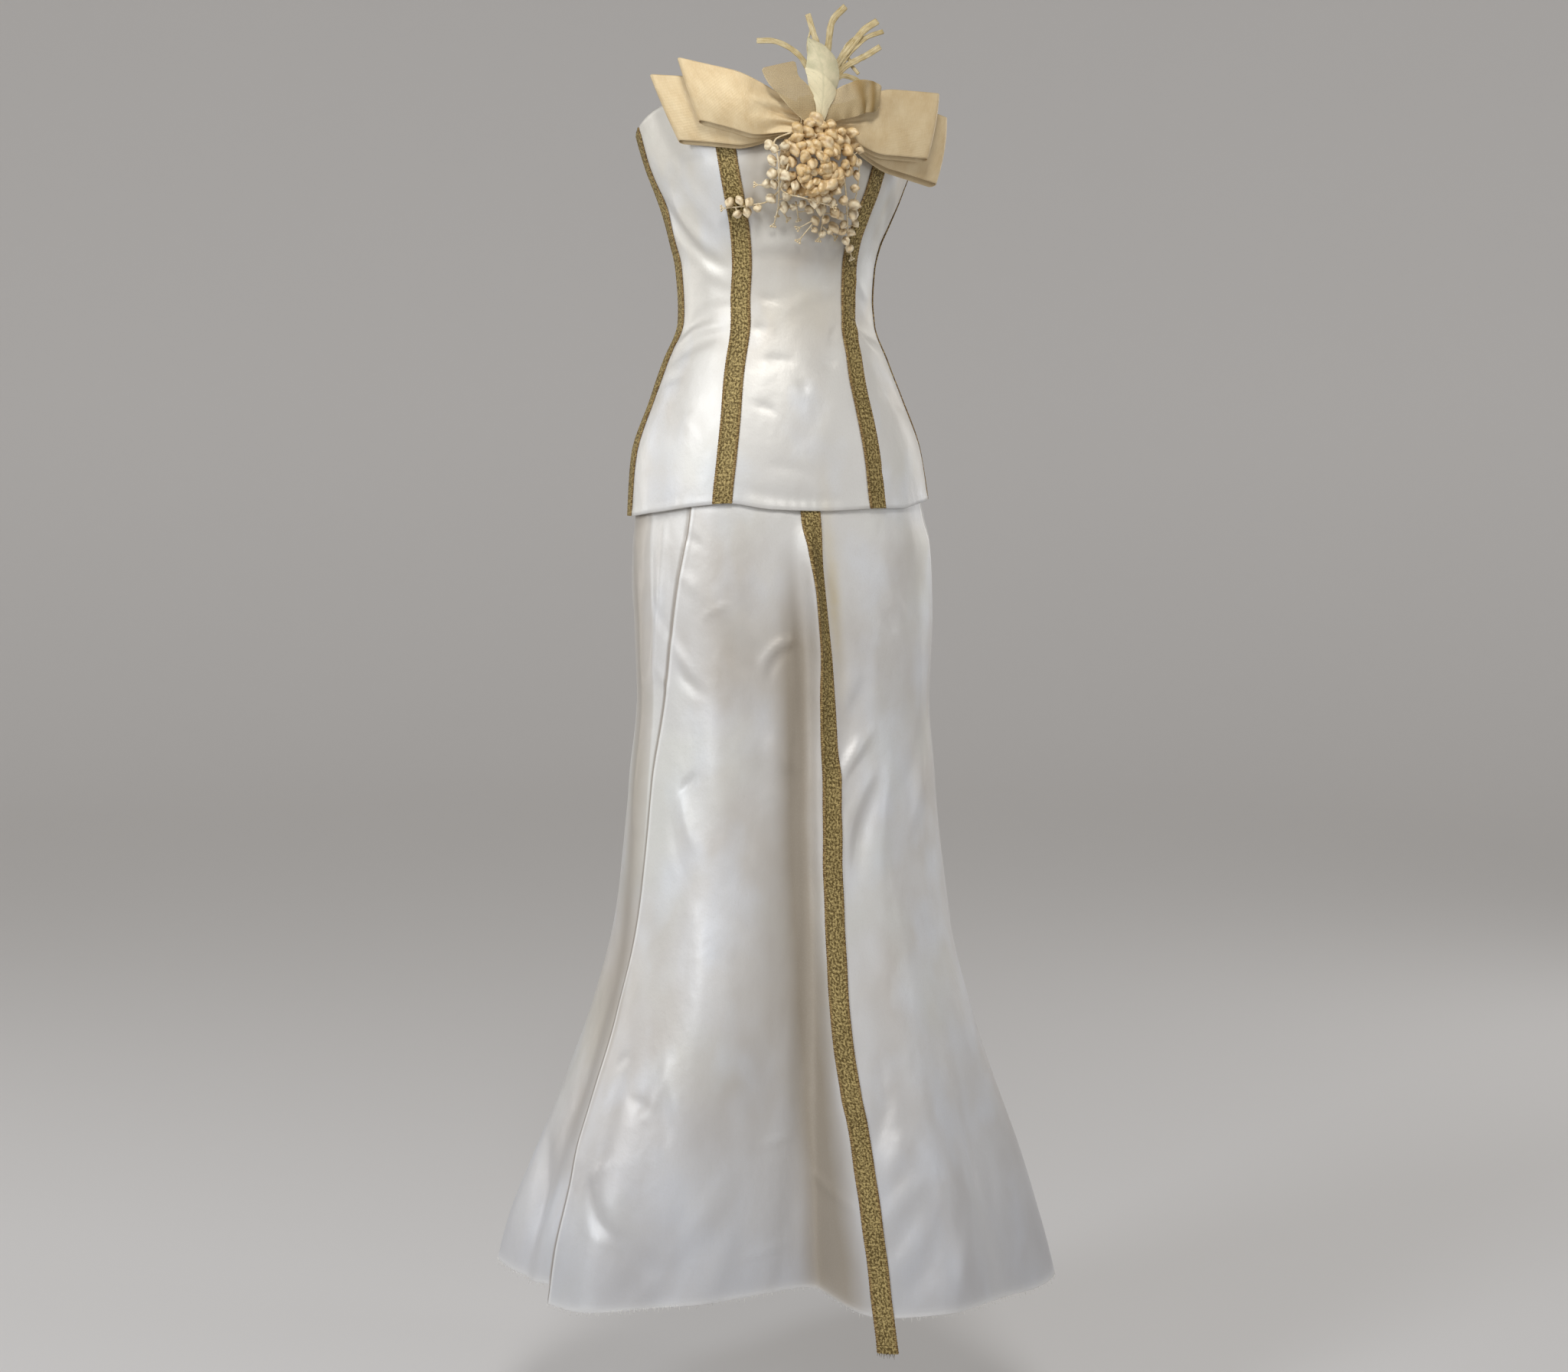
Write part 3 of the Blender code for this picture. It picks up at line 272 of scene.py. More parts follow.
# The spray. Stems and loose buds lie at an angle, a height and a distance off the corset,
# and the close cluster fills a dome.
SPRAY_STEMS = (
    ((-5.5, 0.17, 0.03), (-13.0, 0.16, 0.033), (-12.5, 0.144, 0.038), (-12.5, 0.126, 0.033),
        (-11.5, 0.094, 0.01)),
    ((-9.0, 0.142, 0.038), (-11.5, 0.12, 0.03), (-2.0, 0.114, 0.033), (10.0, 0.108, 0.031)),
    ((-8.0, 0.128, 0.02), (-15.5, 0.108, 0.012), (-21.0, 0.104, 0.011), (-27.5, 0.102, 0.011),
        (-35.0, 0.1, 0.009)),
    ((11.5, 0.142, 0.034), (17.0, 0.112, 0.022), (22.5, 0.088, 0.013), (28.5, 0.066, 0.008),
        (33.5, 0.052, 0.006)),
    ((4.0, 0.136, 0.036), (7.0, 0.112, 0.026), (10.0, 0.086, 0.013), (11.0, 0.07, 0.008)),
    ((-7.5, 0.136, 0.03), (-14.5, 0.124, 0.02), (-20.0, 0.122, 0.012)),
    ((-11.5, 0.102, 0.014), (-12.5, 0.084, 0.008)),
    ((-11.5, 0.102, 0.014), (-7.0, 0.09, 0.008)),
    ((-4.5, 0.108, 0.018), (-1.5, 0.09, 0.009)),
    ((11.0, 0.082, 0.011), (19.0, 0.072, 0.007)),
    ((5.0, 0.088, 0.013), (0.5, 0.08, 0.008)),
    ((5.5, 0.084, 0.012), (1.5, 0.068, 0.007)),
    ((8.0, 0.156, 0.036), (17.0, 0.148, 0.03), (20.0, 0.134, 0.024), (21.5, 0.108, 0.018)),
)
Bud = namedtuple("Bud", "angle height stand_off radius paleness")
LOOSE_BUDS = table_of(
    Bud,
    (-15.0, 0.156, 0.03, 0.0054, 0.85), (-13.5, 0.152, 0.034, 0.0052, 0.9),
    (-10.0, 0.154, 0.038, 0.0056, 0.8), (-14.5, 0.144, 0.03, 0.0056, 0.9),
    (-10.5, 0.144, 0.036, 0.0054, 0.85), (-14.5, 0.134, 0.026, 0.0054, 0.9),
    (-10.5, 0.134, 0.032, 0.0058, 0.85), (-16.5, 0.124, 0.018, 0.005, 1.0),
    (-14.0, 0.124, 0.022, 0.0056, 0.95), (-10.0, 0.124, 0.026, 0.0056, 0.9),
    (-6.0, 0.124, 0.03, 0.0056, 0.8), (-15.0, 0.11, 0.014, 0.0048, 1.0), (-8.5, 0.114, 0.02, 0.0054, 0.95),
    (-9.0, 0.102, 0.014, 0.005, 1.0), (-5.0, 0.102, 0.014, 0.0044, 0.95),
    (-1.5, 0.106, 0.018, 0.0052, 0.95), (2.5, 0.1, 0.014, 0.0054, 0.9), (3.0, 0.11, 0.026, 0.0052, 0.9),
    (7.5, 0.102, 0.018, 0.0052, 0.85), (7.0, 0.114, 0.03, 0.0054, 0.8), (10.5, 0.11, 0.026, 0.005, 0.8),
    (11.0, 0.12, 0.03, 0.0056, 0.6), (6.5, 0.088, 0.012, 0.0052, 0.55), (11.0, 0.09, 0.014, 0.005, 0.5),
    (21.5, 0.108, 0.018, 0.0054, 0.85), (23.5, 0.098, 0.014, 0.0052, 0.9),
    (15.5, 0.112, 0.024, 0.0052, 0.5), (17.0, 0.096, 0.016, 0.0052, 0.6), (21.0, 0.086, 0.012, 0.005, 0.7),
    (27.0, 0.078, 0.01, 0.0048, 0.85), (26.5, 0.068, 0.008, 0.0046, 0.8), (30.5, 0.06, 0.007, 0.0042, 0.85),
    (16.5, 0.082, 0.012, 0.0048, 0.6), (12.0, 0.074, 0.009, 0.0046, 0.9), (7.5, 0.078, 0.01, 0.0046, 0.6),
    (27.0, 0.088, 0.012, 0.0044, 0.8), (22.0, 0.078, 0.01, 0.0046, 0.45), (13.5, 0.1, 0.02, 0.005, 0.45),
    (15.5, 0.078, 0.01, 0.0042, 0.8), (-32.5, 0.106, 0.01, 0.005, 0.7), (-28.0, 0.108, 0.011, 0.005, 0.65),
    (-29.5, 0.094, 0.009, 0.0054, 0.8), (-25.0, 0.096, 0.01, 0.0052, 0.8), (-20.5, 0.1, 0.01, 0.0046, 0.8),
    (-24.0, 0.106, 0.011, 0.0042, 0.6), (18.0, 0.154, 0.03, 0.005, 0.5), (18.5, 0.144, 0.026, 0.0052, 0.6),
    (19.5, 0.134, 0.022, 0.0052, 0.55), (20.0, 0.122, 0.02, 0.005, 0.5),
)
DOME_ANGLE, DOME_HEIGHT = 3.0, 0.1455
DOME_HALF_ANGLE, DOME_HALF_HEIGHT = 14.0, 0.0345
DOME_OUT, DOME_RIM, DOME_TOP_OUT = 0.040, 0.022, 0.0385
DOME_BUDS = 76
BUD_TURN = 137.5

# Camera and light: place, aim, size, power and tone.
CAMERA_AZIMUTH = -13.0
CAMERA_HEIGHT_ANGLE = 5.0
CAMERA_DISTANCE = 3.0
CAMERA_LENS = 62.0
CAMERA_AIM_HEIGHT = -0.418
CAMERA_ASIDE = 0.00595
FLOOR_HEIGHT = -1.30
FLOOR_FLAT, FLOOR_BEND, FLOOR_RUN = 6.0, 1.2, 11.0
FLOOR_STEPS = (96, 48)
FLOOR_GLOW = 0.19
WORLD_LIGHT = 0.06
LIGHTS = (
    ("key", (-0.5, -2.5, 2.2), (0.0, 0.0, -0.30), (0.7, 0.9), 62.0, (1.0, 0.985, 0.96)),
    ("left", (-2.6, -1.7, 1.0), (0.0, 0.0, -0.25), (0.7, 1.7), 46.0, (0.92, 0.955, 1.0)),
    ("right", (2.7, -1.9, 0.6), (0.0, 0.0, -0.5), (0.7, 1.9), 12.0, (0.93, 0.96, 1.0)),
    ("back_left", (-2.9, 1.5, 0.4), (0.0, 1.2, -0.4), (0.8, 1.8), 20.0, (1.0, 0.99, 0.97)),
    ("back_right", (2.9, 1.5, 0.4), (0.0, 1.2, -0.4), (0.8, 1.8), 16.0, (1.0, 0.99, 0.97)),
)

# Creases: where each starts and ends, how far it bows to its side as a share
# of its length, its half width, and how far it rises or, below zero, sinks.
Crease = namedtuple("Crease", "angle height end_angle end_height bow width rise")
CORSET_CREASES = table_of(
    Crease,
    (-86, 0.122, -58, 0.06, -0.1, 0.0095, -0.0022), (-70, 0.112, -44, 0.052, -0.12, 0.0085, 0.0019),
    (-56, 0.15, -39, 0.076, -0.14, 0.01, 0.0014), (-72, 0.082, -40, 0.038, -0.1, 0.0075, -0.0018),
    (-66, 0.06, -38, 0.02, -0.08, 0.008, 0.0012), (-75, -0.031, -36, -0.004, 0.1, 0.006, -0.0015),
    (-80, -0.046, -39, -0.024, 0.08, 0.006, 0.002), (-76, -0.062, -45, -0.037, 0.06, 0.0075, -0.0014),
    (-78, -0.084, -60, -0.076, 0.0, 0.006, -0.0008), (-58, -0.12, -38, -0.15, 0.1, 0.009, 0.0008),
    (-22, 0.058, 26, 0.062, 0.05, 0.0065, 0.0013), (-22, 0.047, 10, 0.044, 0.04, 0.006, -0.0012),
    (-12, 0.082, 22, 0.09, -0.05, 0.008, -0.001), (-20, 0.005, -9, 0.002, 0.0, 0.0042, -0.0011),
    (-24, -0.028, -16, -0.028, 0.0, 0.004, -0.001), (-16, -0.061, -1, -0.064, 0.05, 0.005, -0.0012),
    (-20, -0.109, -10, -0.119, 0.1, 0.0042, -0.001), (0, -0.085, 5, -0.095, 0.0, 0.0045, -0.0009),
    (12, -0.07, 22, -0.06, 0.0, 0.006, -0.0012), (19, -0.043, 27, -0.026, 0.0, 0.0045, -0.0014),
    (-6, -0.01, 24, 0.012, 0.06, 0.008, 0.0008), (2, -0.18, 26, -0.096, 0.08, 0.012, 0.001),
    (-12, -0.174, 4, -0.187, 0.1, 0.007, -0.0009), (-24, -0.196, 14, -0.209, -0.06, 0.007, -0.0012),
    (28, -0.184, 38, -0.178, 0.0, 0.006, -0.0008), (40, -0.006, 68, -0.036, -0.08, 0.007, -0.0026),
    (38, -0.02, 58, -0.052, -0.1, 0.006, 0.0016), (41, 0.03, 66, 0.006, -0.1, 0.0065, 0.0012),
    (44, 0.14, 70, 0.078, 0.1, 0.01, 0.0013), (50, 0.108, 78, 0.058, 0.1, 0.009, -0.0014),
    (44, -0.09, 70, -0.12, 0.05, 0.009, -0.0009), (96, 0.11, 122, 0.06, 0.1, 0.0095, -0.002),
    (104, 0.06, 140, 0.024, 0.08, 0.008, 0.0016), (98, -0.012, 132, -0.03, -0.08, 0.0065, -0.0019),
    (102, -0.034, 144, -0.048, -0.06, 0.006, 0.0017), (120, -0.09, 150, -0.12, 0.08, 0.009, -0.0012),
    (128, 0.12, 168, 0.086, 0.08, 0.01, 0.0013), (150, -0.004, 172, 0.004, 0.04, 0.005, -0.0013),
    (-98, 0.104, -126, 0.056, -0.1, 0.0095, -0.0019), (-110, 0.066, -144, 0.034, -0.08, 0.008, 0.0017),
    (-100, -0.016, -130, -0.036, 0.08, 0.0065, -0.0018), (-106, -0.04, -150, -0.05, 0.05, 0.006, 0.0018),
    (-118, -0.1, -146, -0.132, -0.08, 0.009, -0.0011), (-132, 0.126, -166, 0.092, -0.08, 0.01, 0.0012),
    (-148, 0.0, -170, -0.006, 0.04, 0.005, -0.0012),
)
SKIRT_CREASES = table_of(
    Crease,
    (-16.0, -0.396, -11.0, -0.366, 0.14, 0.006, 0.003), (-12.4, -0.368, -4.6, -0.361, 0.12, 0.0055, 0.0028),
    (-13.6, -0.398, -6.0, -0.372, 0.2, 0.006, -0.0022),
    (-40.0, -0.335, -28.0, -0.321, 0.04, 0.0032, 0.0012),
    (-29.0, -0.318, -15.0, -0.368, -0.06, 0.009, 0.0018),
    (-36.0, -0.33, -22.0, -0.392, -0.06, 0.011, -0.0016),
    (-13.0, -0.46, -5.0, -0.498, -0.16, 0.0085, 0.0026),
    (-17.0, -0.478, -9.0, -0.52, -0.14, 0.009, -0.0018),
    (-53.6, -0.362, -44.0, -0.404, -0.06, 0.0075, 0.0024),
    (-52.0, -0.384, -41.0, -0.418, -0.06, 0.008, -0.0026),
    (-49.0, -0.246, -39.0, -0.26, 0.0, 0.006, -0.0012), (-50.0, -0.29, -40.0, -0.312, 0.05, 0.007, 0.0012),
    (-43.0, -0.505, -49.6, -0.525, 0.0, 0.0048, -0.003),
    (-49.2, -0.526, -40.0, -0.586, -0.05, 0.0075, 0.0022),
    (-52.0, -0.54, -46.0, -0.61, -0.05, 0.009, -0.0018), (-36.0, -0.44, -26.0, -0.56, -0.06, 0.016, 0.0016),
    (-30.0, -0.6, -22.0, -0.76, 0.04, 0.02, -0.002), (-44.0, -0.64, -36.0, -0.79, 0.05, 0.018, 0.0022),
    (-60.0, -0.238, -68.4, -0.4, 0.04, 0.008, 0.0034), (-69.2, -0.232, -75.0, -0.4, 0.04, 0.0085, -0.0036),
    (-66.0, -0.32, -57.0, -0.356, 0.0, 0.006, -0.0016), (-67.2, -0.388, -58.4, -0.414, 0.0, 0.006, 0.0016),
    (-80.0, -0.3, -84.0, -0.56, 0.03, 0.012, 0.0034), (19.6, -0.362, 22.4, -0.414, 0.1, 0.008, -0.0016),
    (24.4, -0.41, 14.0, -0.498, -0.08, 0.011, -0.0042), (27.0, -0.458, 11.6, -0.535, -0.1, 0.0075, 0.0036),
    (24.0, -0.482, 12.4, -0.524, -0.05, 0.005, -0.0022), (27.0, -0.502, 14.4, -0.59, -0.1, 0.008, 0.003),
    (28.6, -0.52, 16.4, -0.63, -0.08, 0.009, -0.0038), (36.0, -0.5, 24.0, -0.66, -0.06, 0.013, 0.003),
    (57.0, -0.462, 40.0, -0.53, 0.06, 0.011, -0.003), (60.0, -0.49, 44.0, -0.57, 0.06, 0.011, 0.0028),
    (34.0, -0.306, 44.0, -0.336, 0.0, 0.008, 0.0012), (32.0, -0.33, 40.0, -0.356, 0.0, 0.007, -0.0012),
    (58.0, -0.37, 57.0, -0.47, 0.03, 0.008, 0.0016), (9.6, -0.3, 12.6, -0.45, 0.03, 0.008, -0.0026),
    (-1.2, -0.29, -6.4, -1.04, 0.01, 0.017, -0.006), (-32.0, -0.33, -40.0, -1.02, 0.01, 0.042, 0.006),
    (-12.0, -0.36, -17.0, -1.03, 0.01, 0.026, -0.0022), (30.0, -0.56, 38.0, -1.04, 0.02, 0.03, 0.0034),
    (40.0, -0.3, 46.0, -0.7, 0.02, 0.034, -0.0024), (-64.0, -0.822, -58.6, -0.806, 0.1, 0.0065, -0.0016),
    (-54.0, -0.848, -47.0, -0.86, 0.0, 0.0075, -0.002),
    (-44.8, -0.806, -50.6, -0.876, 0.08, 0.0085, 0.0017),
    (-43.8, -0.812, -33.0, -0.888, -0.06, 0.011, 0.0017),
    (-45.2, -0.834, -41.0, -0.892, 0.06, 0.0095, -0.002),
    (-61.0, -0.938, -49.0, -0.99, -0.06, 0.0085, -0.0044),
    (-60.4, -0.936, -55.0, -0.914, 0.0, 0.006, 0.0024),
    (-50.0, -0.984, -37.0, -1.028, -0.08, 0.014, -0.0036),
    (-34.0, -0.97, -46.0, -1.052, 0.06, 0.016, -0.005), (-25.0, -0.932, -40.0, -1.02, 0.06, 0.018, 0.0042),
    (-31.0, -0.985, -43.0, -1.09, 0.04, 0.015, -0.0046), (-22.0, -0.99, -30.0, -1.07, 0.04, 0.016, 0.004),
    (-96.0, -0.92, -82.0, -1.03, 0.04, 0.014, -0.004), (-16.0, -0.9, -5.0, -0.89, 0.03, 0.005, 0.0014),
    (0.0, -0.928, 7.8, -0.96, 0.0, 0.005, 0.0016), (-20.0, -1.02, -4.0, -1.006, 0.02, 0.005, 0.0014),
    (17.0, -0.8, 16.2, -0.852, 0.05, 0.007, -0.0028), (19.4, -0.84, 13.0, -0.9, -0.04, 0.009, -0.0036),
    (23.0, -0.878, 15.0, -0.932, -0.04, 0.0095, 0.0032), (23.4, -0.926, 14.2, -0.97, -0.04, 0.0095, 0.003),
    (22.0, -0.956, 14.0, -1.008, 0.0, 0.011, -0.0038), (27.0, -0.972, 16.0, -1.048, 0.05, 0.014, -0.0044),
    (34.0, -0.99, 22.0, -1.07, 0.05, 0.015, 0.0034), (47.0, -0.86, 44.6, -0.96, 0.03, 0.015, -0.0036),
    (56.0, -0.94, 50.0, -1.06, 0.03, 0.016, 0.0036), (96.0, -0.3, 100.0, -0.47, 0.04, 0.011, -0.0034),
    (112.0, -0.36, 104.0, -0.52, -0.06, 0.01, 0.0028), (128.0, -0.42, 138.0, -0.56, 0.08, 0.012, -0.003),
    (150.0, -0.3, 158.0, -0.44, 0.05, 0.011, 0.0026), (170.0, -0.52, 160.0, -0.66, -0.06, 0.013, -0.003),
    (132.0, -0.8, 142.0, -0.93, 0.05, 0.015, 0.0034), (112.0, -0.9, 104.0, -1.02, 0.04, 0.015, -0.0036),
    (-98.0, -0.33, -102.0, -0.5, -0.04, 0.011, -0.0032), (-114.0, -0.38, -106.0, -0.54, 0.06, 0.01, 0.0028),
    (-132.0, -0.4, -140.0, -0.55, -0.08, 0.012, -0.003),
    (-152.0, -0.31, -160.0, -0.46, -0.05, 0.011, 0.0026),
    (-168.0, -0.56, -158.0, -0.7, 0.06, 0.013, -0.0028),
    (-134.0, -0.78, -146.0, -0.91, -0.05, 0.015, 0.0034),
    (-112.0, -0.88, -106.0, -1.0, -0.04, 0.015, -0.0036),
)
CREASE_STEPS = 8
MIX_FIRST, MIX_SECOND, MIX_RESULT = 6, 7, 2
CORSET_CREASE_DEPTH = 1.3
CORSET_SINKS_TO = -0.0026
SKIRT_HIDDEN_FROM, SKIRT_HIDDEN_OVER = -0.226, 0.020
SKIRT_HIDDEN_DROP = 0.0011


# The cloth's form


def ease(share):
    share = np.clip(share, 0, 1)
    return share * share * (3 - 2 * share)


def bell(distance, width):
    return np.exp(-((distance / width) ** 2))


def turn_between(a, b):
    return (a - b + 180) % 360 - 180


class Curve:
    """A smooth curve through a table's rows, keyed on their first column, with no overshoot."""

    def __init__(self, rows):
        data = np.array(rows, float)
        data = data[np.argsort(data[:, 0])]
        self.keys, self.values = data[:, 0], data[:, 1:]
        slopes = np.diff(self.values, axis=0) / np.diff(self.keys)[:, None]
        product = slopes[1:] * slopes[:-1]
        total = slopes[1:] + slopes[:-1]
        inner = np.where(product > 0, 2 * product / np.where(total == 0, 1, total), 0)
        self.tangents = np.vstack([slopes[:1], inner, slopes[-1:]])

    def __call__(self, key):
        key = np.clip(np.asarray(key, float), self.keys[0], self.keys[-1])
        row = np.clip(np.searchsorted(self.keys, key, side="right") - 1, 0, len(self.keys) - 2)
        span = (self.keys[row + 1] - self.keys[row])[..., None]
        t = (key - self.keys[row])[..., None] / span
        found = (
            (2 * t**3 - 3 * t**2 + 1) * self.values[row]
            + (t**3 - 2 * t**2 + t) * self.tangents[row] * span
            + (3 * t**2 - 2 * t**3) * self.values[row + 1]
            + (t**3 - t**2) * self.tangents[row + 1] * span
        )
        return found if found.shape[-1] > 1 else found[..., 0]


corset_section = Curve(CORSET_SECTIONS)
skirt_section = Curve(SKIRT_SECTIONS)
front_fold = Curve(FRONT_FOLD)
braid_ridge = Curve(BRAID_RIDGE)
front_seams = Curve(FRONT_SEAMS)
side_seam = Curve(SIDE_SEAM)
right_lap = Curve(RIGHT_LAP)
left_lap = Curve(LEFT_LAP)
skirt_braid_line = Curve(SKIRT_BRAID)
back_right_seam = Curve(BACK_RIGHT_SEAM)
neckline_curve = Curve(NECKLINE)


def round_figure(table):
    """An edge's height at each angle, which may go on past half a turn."""
    curve = Curve(table)
    return lambda angle: curve(turn_between(angle, 0))


def level_line(value):
    """A line that keeps one value."""
    return lambda place: value + np.zeros(np.shape(place))


corset_hem = round_figure(CORSET_HEM)
front_hem = round_figure(FRONT_HEM)
back_hem = round_figure(BACK_HEM)
skirt_top = level_line(-WAISTBAND_HALF - SEAM_GAP)
braid_start = level_line(BRAID_START)
centre_back = level_line(180.0)
centre_back_right = level_line(-180.0)


def oval(section, angle, height, swell):
    half_width, front, back, middle = np.moveaxis(section, -1, 0)
    side, ahead = np.sin(np.radians(angle)), np.cos(np.radians(angle))
    depth = np.where(ahead > 0, front, back)
    level = height + np.zeros_like(side)
    return np.stack([middle + (half_width + swell) * side, -(depth + swell) * ahead, level], axis=-1)


def corset_form(angle, height):
    swell = 0.0
    for cup in CUPS:
        across = bell(turn_between(angle, cup.angle), cup.spread_angle)
        swell = swell + cup.depth * across * bell(height - cup.height, cup.spread_height)
    return oval(corset_section(height), angle, height, swell)


def one_sided_bell(away, right_width, left_width):
    return bell(away, np.where(away < 0, right_width, left_width))


def skirt_form(angle, height):
    """The skirt as it hangs, which the corset holds in at the top."""
    floor, depth, right_width, left_width = np.moveaxis(front_fold(height), -1, 0)
    swell = -depth * one_sided_bell(turn_between(angle, floor), right_width, left_width)
    rise, before, right_width, left_width = np.moveaxis(braid_ridge(height), -1, 0)
    away = turn_between(angle, skirt_braid_line(height) - before)
    swell = swell + rise * one_sided_bell(away, right_width, left_width)
    for fold in SKIRT_FOLDS:
        grown = ease((fold.top - height) / (fold.top - SKIRT_SECTIONS[-1].height))
        middle = fold.top_angle + (fold.hem_angle - fold.top_angle) * grown
        swell = swell + fold.depth * grown * bell(turn_between(angle, middle), fold.width)
    hung = oval(skirt_section(height), angle, height, swell)
    held = ease((height - HELD_DOWN_TO) / (HELD_FROM - HELD_DOWN_TO))[..., None]
    if not held.any():
        return hung
    return hung + (laid(corset_form, angle, height, -CORSET_CLOTH - SEAM_GAP) - hung) * held


def laid(form, angle, height, out):
    """Points that lie off the form by a distance, along its own normal."""
    across = form(angle + 0.2, height) - form(angle - 0.2, height)
    up = form(angle, height + 0.001) - form(angle, height - 0.001)
    return form(angle, height) + unit(np.cross(across, up)) * np.asarray(out)[..., None]


# How the cloth's surface is creased


def crease_path(crease, per_degree):
    """Points along a crease, in metres from its start, as across and up."""
    across = turn_between(crease.end_angle, crease.angle) * per_degree
    up = crease.end_height - crease.height
    share = np.linspace(0, 1, CREASE_STEPS + 1)
    aside = 4 * crease.bow * share * (1 - share)
    return np.stack([across * share - up * aside, up * share + across * aside], axis=-1)


def crease_rise(crease, per_degree, angle, height):
    path = crease_path(crease, per_degree)
    x = turn_between(angle, crease.angle) * per_degree
    y = height - crease.height
    nearest, along = np.full(x.shape, 1e9), np.zeros(x.shape)
    for step, (start, end) in enumerate(zip(path, path[1:])):
        run = end - start
        t = np.clip(((x - start[0]) * run[0] + (y - start[1]) * run[1]) / (run @ run), 0, 1)
        distance = (x - start[0] - run[0] * t) ** 2 + (y - start[1] - run[1] * t) ** 2
        closer = distance < nearest
        nearest = np.where(closer, distance, nearest)
        along = np.where(closer, (step + t) / CREASE_STEPS, along)
    swing = np.sin(np.pi * np.clip(0.06 + 0.88 * along, 0, 1)) ** 0.8
    narrow = crease.width * (0.65 + 0.35 * swing)
    return crease.rise * swing * np.exp(-nearest / narrow**2)


def creased(creases, section, angle, height):
    """How far all the creases together lift each point of the cloth."""
    angle, height = np.broadcast_arrays(angle, height)
    rise = np.zeros(angle.shape)
    for crease in creases:
        half_width, front, back, _ = section((crease.height + crease.end_height) / 2)
        ahead = abs(turn_between((crease.angle + crease.end_angle) / 2, 0)) < 90
        per_degree = math.radians((half_width + (front if ahead else back)) / 2)
        reach = abs(turn_between(crease.end_angle, crease.angle)) + 4 * crease.width / per_degree
        low = min(crease.height, crease.end_height) - 4 * crease.width
        high = max(crease.height, crease.end_height) + 4 * crease.width
        near = (np.abs(turn_between(angle, crease.angle)) < reach) & (height > low) & (height < high)
        if near.any():
            rise[near] += crease_rise(crease, per_degree, angle[near], height[near])
    return rise


def uneven(angle, height, seed):
    """A soft unevenness from -1 to 1, the same on every run."""
    total = 0.0
    for turn, (round_it, along_it) in enumerate(((5, 31), (9, 17), (13, 47), (21, 29))):
        phase = seed * 1.7 + turn * 2.1
        total = total + np.sin(np.radians(angle) * round_it + height * along_it + phase)
    return total / 4


def corset_relief(angle, height):
    rise = CORSET_CREASE_DEPTH * creased(CORSET_CREASES, corset_section, angle, height)
    rise = rise + 0.00035 * uneven(angle, height * 2, 1)
    at_waist = bell(height, 0.034)
    hem = corset_hem(angle)
    gathered = 0.0003 * np.sin(np.radians(angle) * 53 + 7 * np.sin(np.radians(angle) * 6))
    rise = rise + gathered * bell(height - hem, 0.014)
    return np.maximum(rise, CORSET_SINKS_TO + 0.0016 * at_waist)


def skirt_relief(angle, height):
    rise = creased(SKIRT_CREASES, skirt_section, angle, height)
    hidden = ease((height - SKIRT_HIDDEN_FROM) / SKIRT_HIDDEN_OVER)
    rise = rise + 0.0007 * uneven(angle, height, 2) * (1 - hidden)
    return rise * (1 - hidden) - SKIRT_HIDDEN_DROP * hidden


def neckline(angle):
    return neckline_curve(np.abs(turn_between(angle, 0)))


def front_seam_right(height):
    return -front_seams(height)[..., 0]


def front_seam_left(height):
    return front_seams(height)[..., 1]


def side_seam_right(height):
    return -side_seam(height)


# Meshes of cloth


def degrees_across(form, angle, height, width):
    """The angle that a width takes on the form there."""
    chord = np.linalg.norm(form(angle + 0.5, height) - form(angle - 0.5, height), axis=-1)
    return width / chord


def moved(form, line, width):
    """The line moved round the form by a width."""
    return lambda height: line(height) + degrees_across(form, line(height), height, width)


def panel_grid(form, low, high, top, hem, cell):
    """Angles, heights and lengths across of a panel's grid, evenly spaced along the cloth."""
    low, high = moved(form, low, SEAM_GAP / 2), moved(form, high, -SEAM_GAP / 2)
    middle = (low(np.array(0.0)) + high(np.array(0.0))) / 2
    rows = int(math.ceil((top(middle) - hem(middle)) / cell))
    down = np.linspace(0, 1, rows + 1)

    def side(line):
        height = top(middle) + (hem(middle) - top(middle)) * down
        for _ in range(4):
            angle = line(height)
            height = top(angle) + (hem(angle) - top(angle)) * down
        return line(height)

    low_side, high_side = side(low), side(high)
    share = np.linspace(0, 1, 181)
    angles = low_side[:, None] + (high_side - low_side)[:, None] * share
    heights = top(angles) + (hem(angles) - top(angles)) * down[:, None]
    steps = np.linalg.norm(np.diff(form(angles, heights), axis=1), axis=-1)
    reach = np.concatenate([np.zeros((rows + 1, 1)), np.cumsum(steps, axis=1)], axis=1)
    columns = int(math.ceil(reach[:, -1].max() / cell))
    even = np.linspace(0, 1, columns + 1)
    angles = np.array([np.interp(even * r[-1], r, a) for r, a in zip(reach, angles)])
    heights = top(angles) + (hem(angles) - top(angles)) * down[:, None]
    across = even * reach[:, -1:] - reach[:, -1:] / 2
    return angles, heights, across


def rim_of(rows, columns):
    """Each border point of a grid, clockwise from outside, and its neighbour further in."""
    ring = [(0, c) for c in range(columns)]
    ring += [(r, columns - 1) for r in range(1, rows)]
    ring += [(rows - 1, c) for c in range(columns - 2, -1, -1)]
    ring += [(r, 0) for r in range(rows - 2, 0, -1)]
    inward = [(min(max(r, 1), rows - 2), min(max(c, 1), columns - 2)) for r, c in ring]
    return np.array(ring), np.array(inward)


def new_mesh(name, points, faces):
    mesh = bpy.data.meshes.new(name)
    mesh.from_pydata(points, [], faces)
    mesh.shade_smooth()
    return mesh


